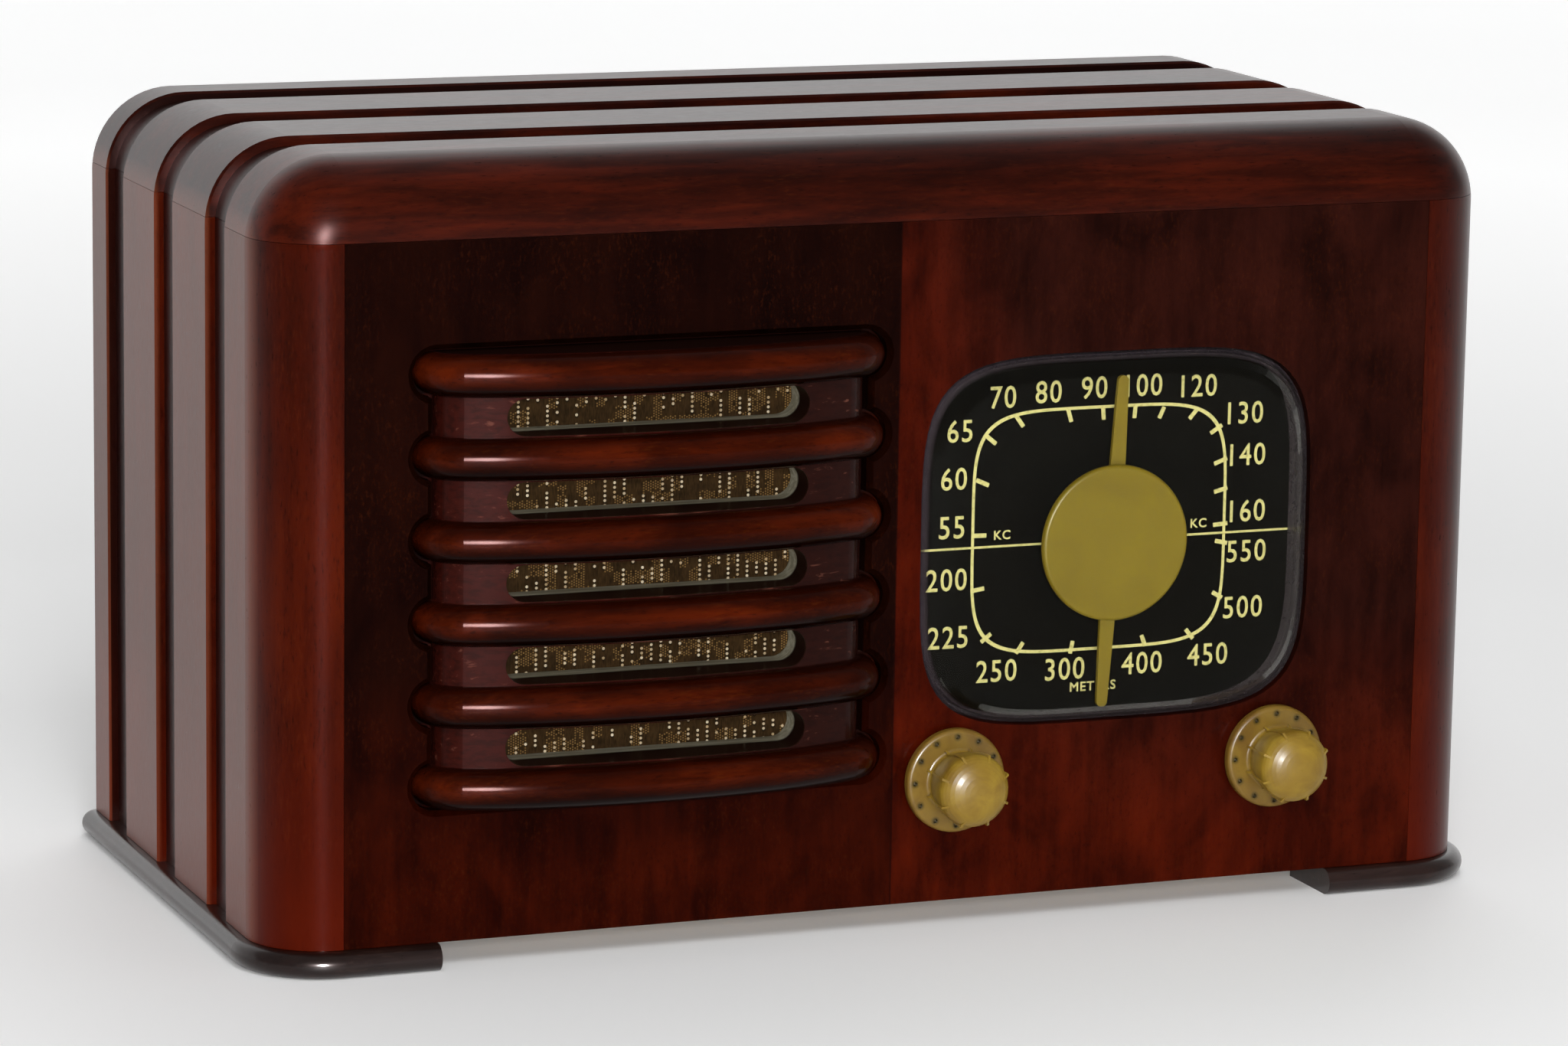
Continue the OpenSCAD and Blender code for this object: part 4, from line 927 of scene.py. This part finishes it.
@dataclass
class Cabinet(Assembly):
    """Boards, panel, feet and the wood inside."""

    table: Table = (
        (RAIL_WOOD, ("top_board",)), (POST_WOOD, ("side_board_left", "side_board_right")),
        (PANEL_WOOD, ("front_panel",)), (FOOT_WOOD, ("foot_left", "foot_right")),
        (BARE_WOOD, ("bottom_board", "rear_cleats", "glue_blocks")))


@dataclass
class Grille(Assembly):
    """Insert with its bars, the cloth and the board behind it."""

    table: Table = (
        (BAR_WOOD, ("grille_insert",)), (GrilleCloth(), ("grille_cloth",)),
        (HARDBOARD, ("speaker_board",)))


@dataclass
class Knobs(Assembly):
    """Two knobs with dimpled flanges and finned grips."""

    table: Table = ((KNOB_PLASTIC, ("volume_knob", "tuning_knob")),)


@dataclass
class Works(Assembly):
    """Everything behind the panel."""

    table: Table = (
        (PLATED, ("dial_bracket", "gang_frame", "tuning_shaft", "volume_shaft", "speaker_bolts",
                  "board_screws", "chassis_bolts")),
        (BRASS, ("cord_drum", "tuning_bush", "control_nuts", "rear_cover_screws")),
        (ALUMINIUM, ("gang_rotor", "gang_stators")), (CAN_METAL, ("if_cans", "filter_capacitor")),
        (CERAMIC, ("lamp_sockets",)), (LAMP_GLASS, ("dial_lamps",)),
        (RUBBER, ("gang_posts", "cord_grommet")), (CORD_FIBRE, ("dial_cord",)),
        (CONTROL_CASE, ("volume_control",)), (BASKET_PAINT, ("speaker_frame",)),
        (MAGNET_PAINT, ("speaker_magnet",)), (FELT, ("speaker_surround",)),
        (SPIDER_CLOTH, ("speaker_spider",)), (CONE_PAPER, ("speaker_cone",)),
        (COIL_WIRE, ("voice_coil",)), (STAMPINGS, ("output_transformer",)),
        (CHASSIS_METAL, ("chassis_pan",)), (PHENOLIC, ("tube_sockets",)),
        (TUBE_BASE, ("tube_bases",)), (TubeGlass(), ("tube_glass",)),
        (TUBE_METAL, ("tube_plates",)), (FORMER, ("oscillator_coil",)),
        (WAX, ("paper_capacitors",)), (LOOP_WIRE, ("loop_aerial",)), (FIBRE, ("rear_cover",)))


@dataclass(frozen=True)
class Letters:
    """How lettering is set.

    Attributes:
        high, widen: Height of a capital in millimetres, and width against the font's own.
        bold: How far each stroke is thickened, for a letter of size 1.
    """

    high: float
    widen: float
    bold: float


NUMERALS = Letters(6.0, 0.88, 0.008)
SMALL = Letters(2.5, 1.02, 0.018)


@dataclass
class Dial(Assembly):
    """Lens, black plate with its print, and the pointer.

    Attributes:
        centre, plate_y: Middle of the opening, and depth of the plate's face.
        ring, ring_power: Half sizes and squareness of the rounded line.
        tick_lift, ring_lift, letter_lift: How far each kind of print stands off the plate.
    """

    table: Table = (
        (DIAL_BLACK, ("dial_plate",)), (ClearPlastic(), ("dial_lens",)),
        (POINTER_PLASTIC, ("pointer",)))
    centre: Pair = (61.6, 101.5)
    plate_y: float = 10.3
    ring: Pair = (36.3, 32.4)
    ring_centre: Pair = (-0.5, 0.3)
    ring_power: float = 5.0
    line_width: float = 0.82
    tick_width: float = 1.15
    level_width: float = 0.6
    level_z: float = -3.0
    level_reach: float = 55.2
    tick_lift: float = 0.05
    ring_lift: float = 0.06
    letter_lift: float = 0.07
    labels: dict[str, Pair] = field(default_factory=lambda: {
        "70": (-28.9, 36.6), "80": (-16.0, 37.4), "90": (-2.9, 37.9), "100": (11.5, 37.9),
        "120": (27.4, 37.0), "130": (41.2, 29.1), "140": (42.2, 17.8), "160": (42.6, 2.6),
        "550": (42.6, -8.3), "500": (42.0, -23.5), "450": (32.0, -35.8), "400": (12.8, -36.9),
        "300": (-9.5, -37.1), "250": (-29.2, -36.4), "225": (-43.3, -26.6), "200": (-44.0, -11.2),
        "55": (-42.8, 2.7), "60": (-42.4, 15.6), "65": (-41.0, 28.2)})
    words: tuple[tuple[str, Pair, Letters], ...] = (
        ("KC", (-28.4, 0.0), SMALL), ("KC", (28.3, 0.0), SMALL),
        ("METERS", (-1.3, -42.2), replace(SMALL, high=2.6)))
    ticks: tuple[tuple[Pair, Pair], ...] = (
        ((-25.4, 31.8), (-23.0, 28.5)), ((-10.4, 32.6), (-9.3, 29.1)), ((-0.3, 32.6), (0.0, 29.2)),
        ((9.1, 32.5), (8.8, 29.2)), ((17.4, 31.8), (16.0, 28.8)), ((27.0, 30.7), (24.8, 28.2)),
        ((34.4, 26.1), (31.1, 24.0)), ((36.2, 17.1), (32.4, 15.7)), ((36.5, 9.1), (32.6, 8.1)),
        ((36.8, -0.5), (32.6, -0.8)), ((36.9, -5.9), (33.3, -5.1)), ((35.8, -20.7), (32.9, -19.0)),
        ((27.6, -31.3), (25.4, -28.6)), ((13.7, -32.4), (12.5, -29.4)),
        ((-8.1, -33.1), (-7.4, -29.7)), ((-23.7, -32.1), (-21.7, -29.2)),
        ((-33.8, -28.4), (-31.0, -26.3)), ((-37.1, -14.6), (-33.2, -14.0)),
        ((-36.6, 0.2), (-32.9, 0.1)), ((-36.1, 15.0), (-32.5, 13.4)), ((-34.0, 27.0), (-30.7, 24.3)))

    def build(self) -> list[str]:
        """Build the print and dress the plate, the lens and the pointer.

        Returns:
            Names of the pieces in order.
        """
        return [self.scale_print(DIAL_INK.build()), *super().build()]

    def on_plate(self, place: Pair, lift: float) -> Vector:
        """Place of a point of the print off the plate's face."""
        return at(self.centre[0] + place[0], self.plate_y - lift, self.centre[1] + place[1])

    def scale_print(self, ink: bpy.types.Material) -> str:
        """Lines, ticks and numerals as one thin piece.

        Args:
            ink: The print's material.

        Returns:
            The piece's name.
        """
        bm = bmesh.new()
        self.ring_line(bm)
        for outer, inner in self.ticks:
            self.stroke(bm, outer, inner, self.tick_width)
        left, right = (-self.level_reach, self.level_z), (self.level_reach, self.level_z)
        self.stroke(bm, left, right, self.level_width)
        for text, place in self.labels.items():
            self.lettering(bm, text, place, NUMERALS)
        for text, place, letters in self.words:
            self.lettering(bm, text, place, letters)
        piece = finish_mesh(bm, "dial_print", ink)
        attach(piece, "cabinet")
        return piece.name

    def ring_line(self, bm: BMesh) -> None:
        """Add the rounded square line.

        Args:
            bm: The mesh that takes it.
        """
        steps, (a, b), half = 96, self.ring, self.line_width / 2
        inner, outer = [], []
        for k in range(steps):
            t = 2 * math.pi * (k + 0.5) / steps
            c, d = math.cos(t), math.sin(t)
            x = math.copysign(abs(c) ** (2 / self.ring_power), c)
            z = math.copysign(abs(d) ** (2 / self.ring_power), d)
            for row, grow in ((inner, -half), (outer, half)):
                place = (self.ring_centre[0] + x * (a + grow), self.ring_centre[1] + z * (b + grow))
                row.append(bm.verts.new(self.on_plate(place, self.ring_lift)))
        loops = [bm.edges.new((row[k - 1], row[k])) for row in (inner, outer) for k in range(steps)]
        bmesh.ops.bridge_loops(bm, edges=loops)

    def stroke(self, bm: BMesh, start: Pair, end: Pair, width: float) -> None:
        """Add a flat stroke.

        Args:
            bm: The mesh that takes it.
            start: One end on the plate.
            end: The other end.
            width: Width in millimetres.
        """
        start, end = Vector(start), Vector(end)
        side = (end - start).normalized().orthogonal() * width / 2
        corners = [start + side, end + side, end - side, start - side]
        bm.faces.new([bm.verts.new(self.on_plate(p, self.tick_lift)) for p in corners])

    def lettering(self, bm: BMesh, text: str, place: Pair, letters: Letters) -> None:
        """Add numerals or letters centred on a place of the plate.

        Args:
            bm: The mesh that takes them.
            text: What to write.
            place: Centre on the plate in millimetres.
            letters: How they are set.
        """
        curve = bpy.data.curves.new("lettering", "FONT")
        curve.body, curve.size = text, 1.0
        curve.align_x, curve.align_y = "CENTER", "CENTER"
        curve.resolution_u, curve.offset, curve.space_character = 3, letters.bold, 1.12
        holder = linked("lettering", curve)
        mesh = bpy.data.meshes.new_from_object(holder.evaluated_get(
            bpy.context.evaluated_depsgraph_get()))
        bpy.data.objects.remove(holder)
        xs, ys, _ = zip(*(v.co for v in mesh.vertices))
        scale = letters.high * MM / (max(ys) - min(ys))
        middle = Vector(((max(xs) + min(xs)) / 2, (max(ys) + min(ys)) / 2, 0.0))
        turn = Matrix.Rotation(math.pi / 2, 4, "X")
        size = Matrix.Diagonal((scale * letters.widen, scale, scale, 1.0))
        mesh.transform(Matrix.Translation(self.on_plate(place, self.letter_lift)) @ turn @ size
                       @ Matrix.Translation(-middle))
        bm.from_mesh(mesh)
        bpy.data.meshes.remove(mesh)


# Studio


class Light(Enum):
    """What a lamp adds to."""

    PLAIN = "the plain colour"
    GLOSS = "the highlights"


@dataclass(frozen=True)
class AreaLamp:
    """Area lamp that the camera doesn't see.

    Attributes:
        place, aim, size: Where it stands, what it points at, width and height, in millimetres.
        power: Power in watts.
    """

    name: str
    place: Triple
    aim: Triple
    size: Pair
    power: float
    light: Light = Light.PLAIN

    def build(self) -> None:
        """Add the lamp to the scene."""
        glossy = self.light is Light.GLOSS
        data = bpy.data.lights.new(self.name, "AREA")
        data.shape = "ELLIPSE" if glossy else "RECTANGLE"
        data.size, data.size_y, data.energy = self.size[0] * MM, self.size[1] * MM, self.power
        lamp = linked(self.name, data)
        lamp.location = at(*self.place)
        lamp.rotation_euler = (at(*self.aim) - at(*self.place)).to_track_quat("-Z", "Y").to_euler()
        lamp.visible_camera = False
        lamp.visible_glossy, lamp.visible_diffuse = glossy, not glossy


@dataclass
class Studio:
    """Pale floor and backdrop, soft lights, and the camera.

    Attributes:
        spot, yaw, pitch, roll: Place of the camera in millimetres and its turns in degrees.
        side, wall_start, curve, wall_top: Half width of the floor, where it curves up, radius of
            the curve and height of the wall, in metres.
        glow, glow_steps: The floor's own light by the radio, and distances in metres between
            which it rises, each with its rise.
    """

    lens: float = 139.9
    sensor: float = 36.0
    spot: Triple = (-594.59, -1426.36, 405.75)
    yaw: float = 21.515
    pitch: float = -10.909
    roll: float = 0.872
    clip: Pair = (0.05, 20.0)
    side: float = 20.0
    wall_start: float = 3.8
    curve: float = 0.6
    wall_top: float = 6.0
    paper: Pair = (0.89, 0.91)
    glow: float = 0.1
    glow_steps: tuple[Triple, ...] = ((0.5, 1.5, 0.3), (1.8, 3.4, 0.27))
    sky: float = 0.32
    lamps: tuple[AreaLamp, ...] = (
        AreaLamp("key", (-350.0, -1500.0, 1700.0), (0.0, 0.0, 60.0), (900.0, 900.0), 18.0),
        AreaLamp("front", (-540.0, -1500.0, 430.0), (0.0, 0.0, 100.0), (300.0, 300.0), 12.0),
        AreaLamp("glint", (-470.0, -1484.0, 425.0), (0.0, 0.0, 100.0), (300.0, 440.0), 76.0, Light.GLOSS),
        AreaLamp("back", (500.0, 1300.0, 1900.0), (0.0, 600.0, 0.0), (1200.0, 1200.0), 10.0))

    def build(self) -> list[str]:
        """Set up the floor, the world, the lamps and the camera.

        Returns:
            Names of what was set up.
        """
        bpy.context.scene.view_settings.view_transform = "Standard"
        self.backdrop()
        self.world()
        for lamp in self.lamps:
            lamp.build()
        self.camera()
        return ["floor", "world", *(lamp.name + " lamp" for lamp in self.lamps), "camera"]

    def backdrop(self) -> None:
        """Wide pale floor that curves up into a wall far behind the radio.

        Its own light is only seen, straight, in reflections or through clear pieces, so that the
        ground is pale in every view.
        """
        bm = bmesh.new()
        bend = [math.radians(d) for d in range(0, 91, 10)]
        rows = [(-self.side, 0.0), *((self.wall_start + self.curve * math.sin(a),
                                      self.curve * (1 - math.cos(a))) for a in bend),
                (self.wall_start + self.curve, self.wall_top)]
        verts = [bm.verts.new((-self.side, y, z)) for y, z in rows]
        edges = [bm.edges.new(pair) for pair in zip(verts, verts[1:])]
        grown = bmesh.ops.extrude_edge_only(bm, edges=edges)["geom"]
        bmesh.ops.translate(bm, vec=(2 * self.side, 0.0, 0.0),
                            verts=[v for v in grown if isinstance(v, bmesh.types.BMVert)])
        shade = Shade("studio_paper")
        dark, light = self.paper
        path = shade.tree.nodes.new("ShaderNodeLightPath").outputs
        seen = shade.math("ADD", path["Is Camera Ray"], path["Is Glossy Ray"])
        seen = shade.math("ADD", seen, path["Is Transmission Ray"], clamp=True)
        x, y, _ = shade.split()
        away, glow = shade.length(x, y), self.glow
        for start, end, rise in self.glow_steps:
            glow = shade.line(shade.mask(away, start, end), rise, glow)
        shade.put(Base_Color=shade.ramp(shade.noise(shade.place, 3.0), (0.3, (dark,) * 3),
                                        (0.7, (light,) * 3)),
                  Roughness=0.6, Emission_Color=(1.0, 1.0, 1.0),
                  Emission_Strength=shade.math("MULTIPLY", seen, glow))
        finish_mesh(bm, "studio_floor", shade.material, 60.0)

    def world(self) -> None:
        """Even white light from all round."""
        world = bpy.data.worlds.new("studio_world")
        bpy.context.scene.world = world
        world.use_nodes = True
        ground = world.node_tree.nodes["Background"]
        ground.inputs["Color"].default_value = (1.0, 1.0, 1.0, 1.0)
        ground.inputs["Strength"].default_value = self.sky

    def camera(self) -> None:
        """Camera that matches the photograph's viewpoint."""
        yaw, pitch, roll = (math.radians(a) for a in (self.yaw, self.pitch, self.roll))
        ahead = Vector((math.sin(yaw) * math.cos(pitch), math.cos(yaw) * math.cos(pitch),
                        math.sin(pitch)))
        level = Vector((math.cos(yaw), -math.sin(yaw), 0.0))
        up = level.cross(ahead)
        right = math.cos(roll) * level + math.sin(roll) * up
        top = -math.sin(roll) * level + math.cos(roll) * up
        turn = Matrix((right, top, -ahead)).transposed().to_4x4()
        data = bpy.data.cameras.new("camera")
        data.lens, data.sensor_width = self.lens, self.sensor
        data.clip_start, data.clip_end = self.clip
        holder = linked("camera", data)
        holder.matrix_world = Matrix.Translation(at(*self.spot)) @ turn
        bpy.context.scene.camera = holder


def main() -> None:
    """Build the radio's looks in order and report each piece."""
    logging.basicConfig(level=logging.INFO, format="%(name)s: %(message)s")
    for part in (Cabinet(), Grille(), Dial(), Knobs(), Works(), Studio()):
        for piece in part.build():
            LOG.info("%s: %s", type(part).__name__.lower(), piece)


if __name__ == "__main__":
    main()
